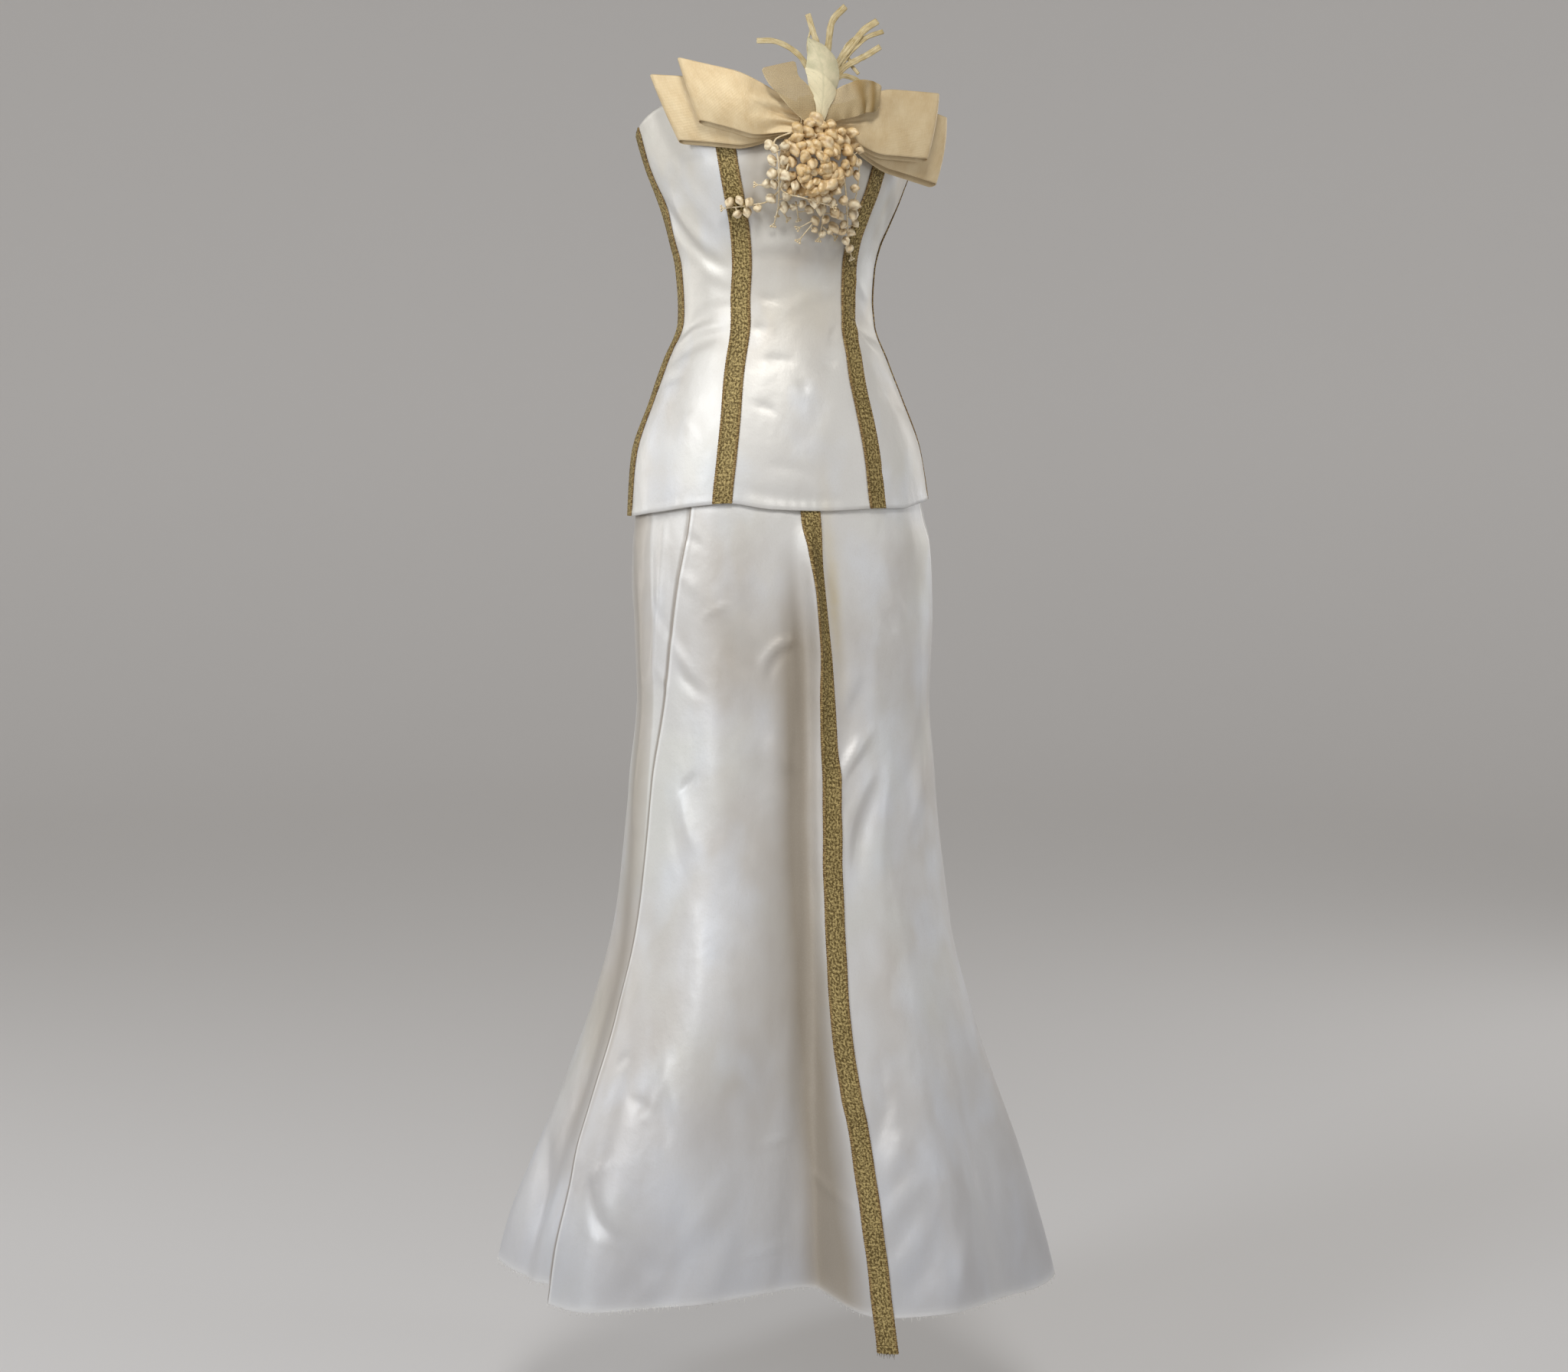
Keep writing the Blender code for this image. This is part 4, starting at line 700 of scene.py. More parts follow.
def unit(vectors):
    return vectors / np.linalg.norm(vectors, axis=-1, keepdims=True)


def cloth_mesh(name, outer, inner, across=None, down=None, **values):
    """A thin closed wall between two grids of points, with a rounded edge all round."""
    rows, columns = outer.shape[:2]
    ring, inward = rim_of(rows, columns)
    at_edge, near_edge = tuple(ring.T), tuple(inward.T)
    edge = (outer[at_edge] + inner[at_edge]) / 2
    before = (outer[near_edge] + inner[near_edge]) / 2
    thick = np.linalg.norm(outer[at_edge] - inner[at_edge], axis=-1)
    lip = edge + unit(edge - before) * thick[:, None] * LIP_SHARE
    points = np.concatenate([outer.reshape(-1, 3), inner.reshape(-1, 3), lip])
    count = rows * columns
    at = np.arange(count).reshape(rows, columns)
    a, b, c, d = at[:-1, :-1], at[1:, :-1], at[1:, 1:], at[:-1, 1:]
    front = np.stack([a, b, c, d], axis=-1).reshape(-1, 4)
    back = front[:, ::-1] + count
    here = at[at_edge]
    there = np.roll(here, -1)
    lips = 2 * count + np.arange(len(ring))
    next_lips = np.roll(lips, -1)
    rolled = np.concatenate(
        [
            np.stack([here, there, next_lips, lips], axis=-1),
            np.stack([lips, next_lips, there + count, here + count], axis=-1),
        ]
    )
    mesh = new_mesh(name, points.tolist(), np.concatenate([front, back, rolled]).tolist())
    if across is not None:
        uv = np.stack([across.reshape(-1), down.reshape(-1)], axis=-1)
        uv = np.concatenate([uv, uv, uv[here]])
        corners = np.empty(len(mesh.loops), np.int32)
        mesh.loops.foreach_get("vertex_index", corners)
        layer = mesh.uv_layers.new(name="cloth")
        layer.data.foreach_set("uv", uv[corners].reshape(-1).astype(np.float32))
    for key, value in values.items():
        value = np.concatenate([value.reshape(-1), value.reshape(-1), value.reshape(-1)[here]])
        made = mesh.attributes.new(key, "FLOAT", "POINT")
        made.data.foreach_set("value", value.astype(np.float32))
    return mesh


def linked(name, mesh):
    piece = bpy.data.objects.new(name, mesh)
    bpy.context.scene.collection.objects.link(piece)
    return piece


def finish_piece(piece, finish, slot, *nodes):
    """Gives a piece its finish, hangs it from the root and hides the model's nodes that it stands for."""
    piece.data.materials.append(finish)
    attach(piece, "root")
    if nodes:
        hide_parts(*nodes)
    return piece


def place_piece(name, mesh, finish, slot, *nodes):
    return finish_piece(linked(name, mesh), finish, slot, *nodes)


def cloth_panel(name, form, relief, low, high, top, hem, level, thick, cell, folded=(), covered=()):
    """One panel of cloth, with sides that are turned under and sides that lie under a lap."""
    angles, heights, across = panel_grid(form, low, high, top, hem, cell)
    rise = relief(angles, heights)
    half = across[:, -1:]
    edges = {
        "low": across + half, "high": half - across,
        "hem": heights - hem(angles), "top": top(angles) - heights,
    }
    from_fold, from_lap = np.ones(heights.shape), np.ones(heights.shape)
    for side in folded:
        rise = rise + TURNED_RISE * bell(edges[side] - TURNED_WIDTH, 0.0032)
        from_fold = np.minimum(from_fold, edges[side])
    outer = laid(form, angles, heights, level + rise)
    inner = laid(form, angles, heights, level + rise - thick)
    hem_near = np.exp(-np.abs(edges["hem"]) / FRAY_WIDTH)
    for side in covered:
        from_lap = np.minimum(from_lap, edges[side] - LAP_WIDTH)
    turn = turn_between(angles, 0) + 0 * heights
    return cloth_mesh(
        name, outer, inner, across, heights,
        hem_edge=hem_near, from_fold=from_fold, from_lap=from_lap, turn=turn,
    )


def facings(points):
    """The direction that a grid of points faces, at each of them."""
    faced = np.cross(np.gradient(points, axis=0), np.gradient(points, axis=1))
    return faced / np.maximum(np.linalg.norm(faced, axis=-1, keepdims=True), 1e-12)


def sheet_mesh(name, middle, thick, across, down, **values):
    """A thin closed sheet on both sides of a grid of points."""
    off = facings(middle) * (thick / 2)
    return cloth_mesh(name, middle + off, middle - off, across, down, **values)


def lengths_along(points):
    """How far down the grid each row lies, measured on its middle column."""
    line = points[:, points.shape[1] // 2]
    steps = np.linalg.norm(np.diff(line, axis=0), axis=-1)
    return np.concatenate([[0.0], np.cumsum(steps)])


def tube_points(path, radii, sides):
    """Rings of points round a path, for a closed tube."""
    path = np.asarray(path, float)
    run = unit(np.gradient(path, axis=0))
    side = unit(np.cross(run, TUBE_ASIDE))
    other = np.cross(run, side)
    turn = np.arange(sides) * 2 * math.pi / sides
    round_it = side[:, None] * np.cos(turn)[:, None] + other[:, None] * np.sin(turn)[:, None]
    return path[:, None] + round_it * np.asarray(radii, float)[:, None, None]


def tube_faces(rings, sides, first):
    """Faces of a closed tube whose points start at a number."""
    faces = []
    for ring in range(rings - 1):
        for k in range(sides):
            a, b = first + ring * sides + k, first + ring * sides + (k + 1) % sides
            faces.append((a, b, b + sides, a + sides))
    faces.append([first + k for k in range(sides)][::-1])
    faces.append([first + (rings - 1) * sides + k for k in range(sides)])
    return faces


def tubes_mesh(name, tubes, sides):
    """One mesh of many closed tubes, each a path with its radii."""
    points, faces = [], []
    for path, radii in tubes:
        rings = tube_points(path, radii, sides)
        faces += tube_faces(len(rings), sides, len(points))
        points += rings.reshape(-1, 3).tolist()
    return new_mesh(name, points, faces)


def joined(name, objects):
    """One object of several."""
    bpy.ops.object.select_all(action="DESELECT")
    for one in objects:
        one.select_set(True)
    bpy.context.view_layer.objects.active = objects[0]
    bpy.ops.object.join()
    whole = bpy.context.object
    whole.name = whole.data.name = name
    whole.select_set(False)
    return whole


# Braid


def braid_profile(side, along):
    """The height of the braid's threads and how bright they are, across and along it: painted light on the
    raised threads and painted shade in the groove.
    """
    across = side / (BRAID_WIDTH / 2)
    wide = np.abs(across)
    cord = bell(wide - 0.87, 0.11)
    groove = bell(wide - 0.68, 0.05)
    ribs = np.sin(2 * math.pi * along / 0.0042)
    knit = np.sin(2 * math.pi * (along / 0.0047 + 1.3 * wide) + 1.3 * np.sin(along * 410))
    sway = 1.1 * np.sin(along * 290 + side * 300)
    plait = np.sin(2 * math.pi * (along / 0.0039 - 1.9 * wide) + 1.3 + sway)
    middle = ease((0.66 - wide) / 0.08)
    line = bell(across - 0.60, 0.06)
    loops = knit * plait
    rise = cord * (0.00042 + 0.00010 * ribs) - 0.00026 * groove + middle * 0.00034 * loops + 0.00016 * line
    # Painted light on the raised cords, loops and the line near one edge; painted shade in the groove.
    bright = cord * (0.35 + 0.15 * ribs) + middle * (0.22 + 0.42 * loops) - 0.35 * groove + 0.55 * line
    return rise, bright


def braid_mesh(name, form, relief, line, top, hem, tail, step):
    """A braid that lies on the cloth along a line, with small scallops at its edges."""
    rows = int((top(line(0.0)) - hem(line(-0.5)) + tail) / step)
    share = np.linspace(0, 1, rows + 1)[:, None]
    side = np.linspace(-1, 1, BRAID_COLUMNS) * BRAID_WIDTH / 2
    guess = line(np.array(-0.1))
    heights = top(guess) + (hem(guess) - tail - top(guess)) * share + 0 * side
    for _ in range(3):
        angles = line(heights) + degrees_across(form, line(heights), heights, side)
        heights = top(angles) + (hem(angles) - tail - top(angles)) * share
    along = lengths_along(form(angles, heights))[:, None]
    scallop = 1 + 0.055 * np.abs(np.sin(math.pi * along / SCALLOP)) * (np.abs(side) > BRAID_WIDTH * 0.45)
    wander = 0.0003 * np.sin(along * 39) + 0.0002 * np.sin(along * 97)
    angles = line(heights) + degrees_across(form, line(heights), heights, side * scallop + wander)
    rise, bright = braid_profile(side, along)
    under = relief(angles, heights) + SEAM_GAP
    if tail:
        under = under + 0.0006 * bell(heights - hem(angles) + tail, 0.02) * np.sin(along * 160)
    outer = laid(form, angles, heights, under + BRAID_THICK - BRAID_SUNK + rise)
    inner = laid(form, angles, heights, under)
    along = along + 0 * side
    return cloth_mesh(name, outer, inner, side + 0 * along, along, pile=bright), along[-1, 0]


# Bow


def loop_place(loop, along, depth, across):
    """Where a point of a ribbon loop lies: how far out, how far forward, how far up."""
    bend = np.radians(loop.bend_root + (loop.bend_end - loop.bend_root) * along / 2)
    facing = np.radians(loop.bend_root + (loop.bend_end - loop.bend_root) * along)
    width = loop.root_width + (loop.end_width - loop.root_width) * ease(along / 0.55)
    slide = loop.lean * across * ease(along / 0.9)
    cup = 0.0035 * (2 * across) ** 2 * ease(along / 0.4)
    level = math.cos(math.asin(loop.rise / loop.length))
    outward = along * loop.length * level + slide
    x = outward * np.cos(bend) + (depth - cup) * np.sin(facing)
    y = outward * np.sin(bend) - (depth - cup) * np.cos(facing)
    z = loop.rise * along + width * across
    root = [loop.side * (KNOT_HALF.x + ROOT_CLEAR), loop.layer, 0.0]
    return np.array(KNOT) + np.array(root) + np.stack([loop.side * x, y, z], axis=-1)


def loop_mesh(loop, thick):
    """A loop of ribbon as one long sheet: out in front, round its end and back behind."""
    gap = Curve(LOOP_GAP)
    out = np.linspace(0, 1, LOOP_LONG_STEPS + 1)
    fold = np.radians(np.linspace(90, -90, 11))[1:-1]
    end = 1 - gap(1.0) / loop.length
    along = np.concatenate([out * end, end + np.cos(fold) * (1 - end), out[::-1] * end])
    depth = np.concatenate([gap(out * end), gap(1.0) * np.sin(fold), -gap(out[::-1] * end)])
    across = np.linspace(-0.5, 0.5, LOOP_ACROSS_STEPS + 1)
    along, depth, across = np.broadcast_arrays(along[:, None], depth[:, None], across)
    seed = loop.side * 1.3 + loop.layer * 700
    gather = np.sin(across * 17 + seed + 1.8 * np.sin(along * 4 + seed)) * bell(along - 0.05, 0.26)
    crush = np.sin(across * 38 + seed * 3) * bell(along - 0.02, 0.14)
    dart = bell(across + 0.10 - 0.35 * along, 0.045) * bell(along - 0.10, 0.20)
    broad = np.sin(along * 5.1 + across * 2.2 + seed) * ease(along / 0.3)
    shift = 0.0021 * gather + 0.0008 * crush - 0.0030 * dart + 0.0014 * broad
    middle = loop_place(loop, along, depth + shift, across)
    middle[..., 2] -= BACK_DROP * (1 - depth / gap(1.0)) / 2
    width = loop.end_width
    down = lengths_along(middle)[:, None] + 0 * across
    mesh = sheet_mesh(loop.name, middle, thick, across * width, down)
    return mesh, (width, float(down[-1, 0]))


def wrap_grid():
    """The ribbon wound round the middle of the bow, pleated along its winding."""
    turn = np.radians(np.linspace(0, 360, WRAP_ROUND_STEPS + 1))[:, None]
    side = np.linspace(-1, 1, WRAP_SIDE_STEPS + 1)
    wide = KNOT_HALF.x * side + 0 * turn
    c, s = np.cos(turn), np.sin(turn)
    y = KNOT_HALF.y * np.sign(c) * np.abs(c) ** (2 / WRAP_SQUARE)
    z = KNOT_HALF.z * np.sign(s) * np.abs(s) ** (2 / WRAP_SQUARE)
    full = 1 - 0.10 * np.abs(side) ** 3
    pleat = 0.0011 * np.sin(side * 11 + 0.7 * np.sin(turn * 2 + 0.4)) + 0.0005 * np.sin(side * 23 + turn)
    pinch = 1 - 0.05 * np.cos(turn * 2)
    reach = np.sqrt(y**2 + z**2)
    swell = (reach * full * pinch * 0.95 + pleat) / reach
    return np.stack([KNOT.x + wide, KNOT.y - y * swell, KNOT.z + z * swell], axis=-1)


def wound_mesh(name, grid, down):
    """A closed solid from a grid whose last row meets its first, capped at both sides."""
    rings, columns = grid.shape[0] - 1, grid.shape[1]
    at = np.arange(rings * columns).reshape(rings, columns)
    around = np.concatenate([at, at[:1]])
    faces = np.stack([around[:-1, :-1], around[:-1, 1:], around[1:, 1:], around[1:, :-1]], axis=-1)
    faces = faces.reshape(-1, 4).tolist()
    points = grid[:-1].reshape(-1, 3).tolist()
    uv = np.stack([grid[..., 0], down], axis=-1)
    corners = np.stack([uv[:-1, :-1], uv[:-1, 1:], uv[1:, 1:], uv[1:, :-1]], axis=-2).reshape(-1, 2)
    for column, turned in ((0, False), (columns - 1, True)):
        ring = at[:, column].tolist()
        shrunk = [grid[:-1, column].mean(axis=0) * (1 - s) + grid[:-1, column] * s for s in (0.7, 0.35)]
        rim = [ring]
        for line in shrunk:
            rim.append(list(range(len(points), len(points) + rings)))
            points += line.tolist()
        for outer, inner in zip(rim, rim[1:]):
            for k in range(rings):
                n = (k + 1) % rings
                face = (outer[k], outer[n], inner[n], inner[k])
                faces.append(face[::-1] if turned else face)
        faces.append(rim[-1][::-1] if turned else rim[-1])
    mesh = new_mesh(name, points, faces)
    layer = mesh.uv_layers.new(name="cloth")
    flat = np.zeros((len(mesh.loops), 2), np.float32)
    flat[: len(corners)] = corners
    layer.data.foreach_set("uv", flat.reshape(-1))
    solid = bmesh.new()
    solid.from_mesh(mesh)
    bmesh.ops.recalc_face_normals(solid, faces=solid.faces)
    solid.to_mesh(mesh)
    solid.free()
    return mesh


def from_wrap(across, up, forward):
    return np.array(KNOT) + np.stack([across, -forward, up], axis=-1)


def blade_grid(rows, cup, across_steps, along_steps, ripple=0.0):
    """A leaf-like sheet's grid from its tip down to its root, with its place on the blade."""
    curve = Curve(rows)
    along = np.linspace(1, 0, along_steps + 1)[:, None]
    side = np.linspace(-1, 1, across_steps + 1)
    x, up, forward, half_width = np.moveaxis(curve(along[:, 0]), -1, 0)[:, :, None]
    ahead, behind = curve(np.minimum(along[:, 0] + 0.02, 1)), curve(np.maximum(along[:, 0] - 0.02, 0))
    run = unit((ahead - behind)[:, :2])
    bent = cup * side**2 * half_width * ease(along / 0.3)
    wave = ripple * np.sin(along * 23 + side * 2.4) * np.abs(side) ** 1.5
    grid = from_wrap(
        x + run[:, 1:] * half_width * side,
        up - run[:, :1] * half_width * side,
        forward - bent + wave,
    )
    return grid, along + 0 * side, side + 0 * along, half_width * side


# Straw


def smooth_path(route, steps):
    """Points along a smooth line through a route's places."""
    places = np.array(route, float)
    places = np.vstack([2 * places[0] - places[1], places, 2 * places[-1] - places[-2]])
    share = np.linspace(0, len(route) - 1, steps + 1)
    at = np.minimum(share.astype(int), len(route) - 2)
    t = (share - at)[:, None]
    a, b, c, d = (places[at + k] for k in range(4))
    return b + 0.5 * t * (c - a + t * (2 * a - 5 * b + 4 * c - d + t * (3 * (b - c) + d - a)))


def straw_mesh(number, straw):
    """One flat strip of straw that curls a little across and twists along its length."""
    path = smooth_path(straw.route, 34)
    path = from_wrap(path[:, 0], path[:, 1], path[:, 2])
    run = unit(np.gradient(path, axis=0))
    share = np.linspace(0, 1, len(path))[:, None]
    facing = np.array([0, -1, 0.15]) + np.array([1, 0, 0.4]) * straw.curl * share**2
    wide = unit(np.cross(facing, run))
    over = np.cross(run, wide)
    side = np.linspace(1, -1, 9)
    narrow = 1 - 0.12 * np.sin(share * 31 + number) * share
    half = straw.width / 2 * narrow
    ridge = 0.00022 * np.cos(side * 7 + number) - 0.0005 * side**2
    aside = wide[::-1, None] * (half * side)[..., None]
    grid = path[::-1, None] + aside + over[::-1, None] * ridge[:, None]
    down = lengths_along(grid)[:, None] + 0 * side
    return sheet_mesh("straw", grid, STRAW_THICK, half * side + number * 0.02, down)


# Buds


def spray_place(angle, height, stand_off):
    return laid(corset_form, np.asarray(angle, float), np.asarray(height, float), stand_off)


def spray_facing(angle, height):
    faced = spray_place(angle, height, 0.01) - spray_place(angle, height, 0.0)
    return Vector(faced).normalized()


def dome_buds():
    """The close cluster, laid out as seeds in a flower head."""
    buds = []
    for number in range(DOME_BUDS):
        reach = math.sqrt((number + 0.5) / DOME_BUDS)
        turn = math.radians(number * BUD_TURN)
        angle = DOME_ANGLE + DOME_HALF_ANGLE * reach * math.cos(turn)
        height = DOME_HEIGHT + DOME_HALF_HEIGHT * reach * math.sin(turn)
        out = DOME_RIM + (DOME_OUT - DOME_RIM) * (1 - reach**2)
        out = max(out, DOME_TOP_OUT * float(ease((height - 0.152) / 0.014)))
        out += 0.0026 * math.sin(number * 2.3)
        angle += 0.9 * math.sin(number * 7.1)
        height += 0.0016 * math.sin(number * 5.7)
        pale = 0.12 + 0.16 * math.sin(number * 1.9) + 0.25 * float(ease((DOME_ANGLE - 6 - angle) / 8))
        buds.append(Bud(angle, height, out, 0.0061 + 0.0007 * math.sin(number * 4.1), pale))
    return buds


def model_bud():
    """One closed wax bud: petals folded round each other to a point, with painted shade where they part and a
    darker tip.
    """
    bpy.ops.object.select_all(action="DESELECT")
    bpy.ops.mesh.primitive_uv_sphere_add(segments=15, ring_count=11, radius=1.0, location=(0, 0, 0))
    bud = bpy.context.object
    parting = []
    for point in bud.data.vertices:
        x, y, z = point.co
        turn = math.atan2(y, x)
        fold = math.cos(turn * 3 + z * 2.6)
        petals = 1 + 0.10 * fold * (1 - z * z)
        drop = 1 - 0.34 * max(z, 0) ** 2 - 0.10 * max(-z, 0)
        point.co = (x * petals * drop, y * petals * drop, z * 1.22 + (0.20 if z > 0.95 else 0))
        # Painted shade in the grooves between the petals; the tip is darker too.
        between = ease((-0.25 - fold) / 0.7) * (1 - z * z)
        parting.append(float(between * 0.8 + ease((z - 0.86) / 0.14) * 0.6))
    tip = bud.data.attributes.new("tip", "FLOAT", "POINT")
    tip.data.foreach_set("value", parting)
    bud.data.shade_smooth()
    return bud


def bud_copies(model, rows):
    """A copy of the bud at each row, turned its own way, with its own mesh."""
    made = []
    for number, row in enumerate(rows):
        mesh = model.data.copy()
        facing = spray_facing(row.angle, row.height)
        sideways, droop = math.sin(number * 2.4), -0.75 + 0.8 * math.cos(number * 3.7)
        lean = Vector((sideways, 0.35 * math.sin(number * 1.3), droop))
        aim = (facing * 0.75 + lean * 0.75).normalized()
        turned = aim.to_track_quat("Z", "Y").to_matrix().to_4x4()
        spin = Matrix.Rotation(number * 1.1, 4, "Z")
        size = row.radius * (1 + 0.14 * math.sin(number * 5.3))
        squeeze = 0.92 + 0.10 * math.sin(number * 2.9)
        long = 1.05 + 0.14 * math.sin(number * 1.7)
        shape = Matrix.Diagonal((size * squeeze, size * 0.98, size * long, 1))
        place = Matrix.Translation(Vector(spray_place(row.angle, row.height, row.stand_off)))
        mesh.transform(place @ turned @ spin @ shape)
        pale = mesh.attributes.new("paleness", "FLOAT", "POINT")
        pale.data.foreach_set("value", [row.paleness] * len(mesh.vertices))
        made.append(linked("bud", mesh))
    return made


def stem_tubes():
    """The spray's stems, with short stalks to the loose buds and beads at the stems' ends."""
    tubes = []
    for stem in SPRAY_STEMS:
        route = smooth_path(stem, 18)
        path = spray_place(route[:, 0], route[:, 1], route[:, 2])
        share = np.linspace(0, 1, len(path))
        tubes.append((path, 0.00105 - 0.0004 * share))
        end, before = path[-1], path[-3]
        run = (end - before) / np.linalg.norm(end - before)
        aside = np.cross(run, np.array([0, -1, 0]))
        for swing in (-0.6, 0.1, 0.75):
            tip = end + run * 0.0042 + aside * swing * 0.0046
            tubes.append((np.array([end, (end + tip) / 2, tip]), (0.0005, 0.0005, 0.0005)))
            bead = np.array([tip - run * 0.0008, tip, tip + run * 0.0009, tip + run * 0.0018])
            tubes.append((bead, (0.0005, 0.0013, 0.0013, 0.0004)))
    starts = [spray_place(*place) for stem in SPRAY_STEMS for place in smooth_path(stem, 24)]
    for row in LOOSE_BUDS:
        bud = spray_place(row.angle, row.height, row.stand_off)
        start = min(starts, key=lambda place: float(np.linalg.norm(place - bud)))
        middle = (start + bud) / 2 + np.array([0, -0.0008, -0.0010])
        tubes.append((np.array([start, middle, bud]), (0.0006, 0.0005, 0.0005)))
    return tubes


# Frayed threads at the hems


def hem_thread(form, angle, height, level, number):
    """One short loose thread that hangs from a cut edge."""
    length = 0.0028 + 0.0022 * math.sin(number * 2.9) + 0.0012 * math.sin(number * 7.7)
    sway = 0.9 * math.sin(number * 1.7) + 0.6 * math.sin(number * 4.3)
    steps = np.linspace(0, 1, 4)
    turn = degrees_across(form, angle, height, 0.0016 * sway)
    heights = height + THREAD_HOLD - (length + THREAD_HOLD) * steps
    path = laid(form, angle + turn * steps**1.5, heights, level + 0.0006 * steps)
    return path, THREAD_RADIUS * (1 - 0.55 * steps)


# Finishes


class Value:
    """A number in a finish's nodes, with ordinary arithmetic."""

    def __init__(self, finish, socket):
        self.finish = finish
        self.socket = socket

    def worked(self, operation, *others):
        return self.finish.maths(operation, self, *others)

    def __add__(self, other):
        return self.worked("ADD", other)

    def __sub__(self, other):
        return self.worked("SUBTRACT", other)

    def __rsub__(self, other):
        return self.finish.maths("SUBTRACT", other, self)

    def __mul__(self, other):
        return self.worked("MULTIPLY", other)

    def __truediv__(self, other):
        return self.worked("DIVIDE", other)

    __radd__ = __add__
    __rmul__ = __mul__

    def sine(self):
        return self.worked("SINE")

    def size(self):
        return self.worked("ABSOLUTE")

    def wave(self, length):
        return (self * (2 * math.pi / length)).sine()

    def held(self):
        """The value kept from 0 to 1."""
        made = self.finish.node("ShaderNodeClamp", {}, {"Value": self})
        return Value(self.finish, made.outputs[0])

    def over(self, level, gain):
        """How far the value stands over a level, times a gain, kept from 0 to 1."""
        return ((self - level) * gain).held()

    def under(self, level, span):
        """How far the value lies under a level, in parts of a span, kept from 0 to 1."""
        return ((level - self) / span).held()

    def near(self, middle, width):
        """A bell round a middle value."""
        scaled = (self - middle) / width
        return (0 - scaled * scaled).worked("EXPONENT")


class Finish:
    """One material, built up from nodes. Each tint lies over the colours before it."""

    def __init__(self, name, colour, **constants):
        self.colour = colour
        self.material = bpy.data.materials.new(name)
        self.material.use_nodes = True
        self.tree = self.material.node_tree
        self.shader = self.tree.nodes["Principled BSDF"]
        for socket, value in constants.items():
            self.shader.inputs[socket.replace("_", " ")].default_value = value

    def node(self, kind, settings, inputs):
        made = self.tree.nodes.new(kind)
        for key, value in settings.items():
            setattr(made, key, value)
        for key, value in inputs.items():
            self.feed(made.inputs[key], value)
        return made

    def feed(self, socket, value):
        if isinstance(value, Value):
            self.tree.links.new(value.socket, socket)
        elif isinstance(value, bpy.types.NodeSocket):
            self.tree.links.new(value, socket)
        elif socket.type == "RGBA":
            socket.default_value = (*value[:3], 1.0)
        else:
            socket.default_value = value

    def maths(self, operation, *values):
        made = self.node("ShaderNodeMath", {"operation": operation}, dict(enumerate(values)))
        return Value(self, made.outputs[0])

    def object_place(self):
        return self.node("ShaderNodeTexCoord", {}, {}).outputs["Object"]

    def cloth_place(self):
        return self.node("ShaderNodeUVMap", {"uv_map": "cloth"}, {}).outputs["UV"]

    def split(self, place):
        parts = self.node("ShaderNodeSeparateXYZ", {}, {"Vector": place}).outputs
        return [Value(self, part) for part in parts]

    def stretched(self, place, *scale):
        return self.node("ShaderNodeMapping", {}, {"Vector": place, "Scale": scale}).outputs["Vector"]

    def noise(self, place, scale, detail=2.0, roughness=0.5):
        settings = {"Vector": place, "Scale": scale, "Detail": detail, "Roughness": roughness}
        return Value(self, self.node("ShaderNodeTexNoise", {}, settings).outputs["Fac"])

    def attribute(self, name):
        return Value(self, self.node("ShaderNodeAttribute", {"attribute_name": name}, {}).outputs["Fac"])

    def tint(self, share, colour):
        made = self.node("ShaderNodeMix", {"data_type": "RGBA"}, {"Factor": share})
        for number, value in ((MIX_FIRST, self.colour), (MIX_SECOND, colour)):
            self.feed(made.inputs[number], value)
        self.colour = made.outputs[MIX_RESULT]

    def done(self, **inputs):
        """Connects the colour and other inputs to the shader, and gives the material."""
        for socket, value in {"Base Color": self.colour, **inputs}.items():
            self.feed(self.shader.inputs[socket], value)
        return self.material

    def bump(self, height, distance, strength=1.0):
        made = self.node("ShaderNodeBump", {}, {"Height": height, "Distance": distance, "Strength": strength})
        self.feed(self.shader.inputs["Normal"], made.outputs["Normal"])


def skirt_shades(finish, colours, x, z, in_front, clouds):
    """Painted shade on the skirt: its greyer lower part, the shade in its deep fold, middle and far left, the
    thin dark lines beside its laps, and a painted highlight on each turned lap edge.
    """
    # Painted shade: the skirt turns darker grey towards the hem, where less light falls.
    finish.tint(z.under(-0.74, 0.30) * (0.35 + clouds * 0.5), colours.lower_skirt_painted_shade)
    # Painted shade down the deep fold beside the front braid.
    down = z + 0.42
    fold = (x + 0.006 - down * down * 0.07).near(0, 0.024) * z.under(-0.25, 0.12)
    finish.tint((fold * in_front * (0.75 + clouds * 0.7)).held() * 0.95, colours.painted_satin_shade)
    # Painted shade on the middle of the skirt's front.
    upper = x.near(-0.073, 0.040) * z.near(-0.38, 0.13)
    lower = x.near(-0.040, 0.045) * z.near(-0.72, 0.20)
    middle = ((upper + lower) * in_front * (0.1 + clouds * 1.1)).held()
    finish.tint(middle * 0.6, colours.painted_satin_shade)
    # Painted shade on the far left side of the skirt, which turns away from the light.
    turn = finish.attribute("turn")
    aside = turn.near(-82, 15.0) * turn.under(-69, 1.6) * ((z + 0.98) / 0.22).held()
    finish.tint(aside * 0.7, colours.painted_satin_shade)
    # Painted shadow: a thin dark line on the panel beside each lap's edge.
    line = finish.attribute("from_lap").under(0.0060, 0.0030)
    finish.tint(line * (0.45 + z.under(-0.25, 0.10) * 0.3), colours.lap_painted_shadow)
    # Painted highlight along the ridge of each turned lap edge, then painted shade where the edge rolls
    # under.
    turned = finish.attribute("from_fold")
    finish.tint(turned.near(0.0034, 0.0015) * 0.5, colours.hem_white_and_painted_highlight)
    finish.tint(turned.under(0.0020, 0.0008) * 0.75, colours.lap_painted_shadow)


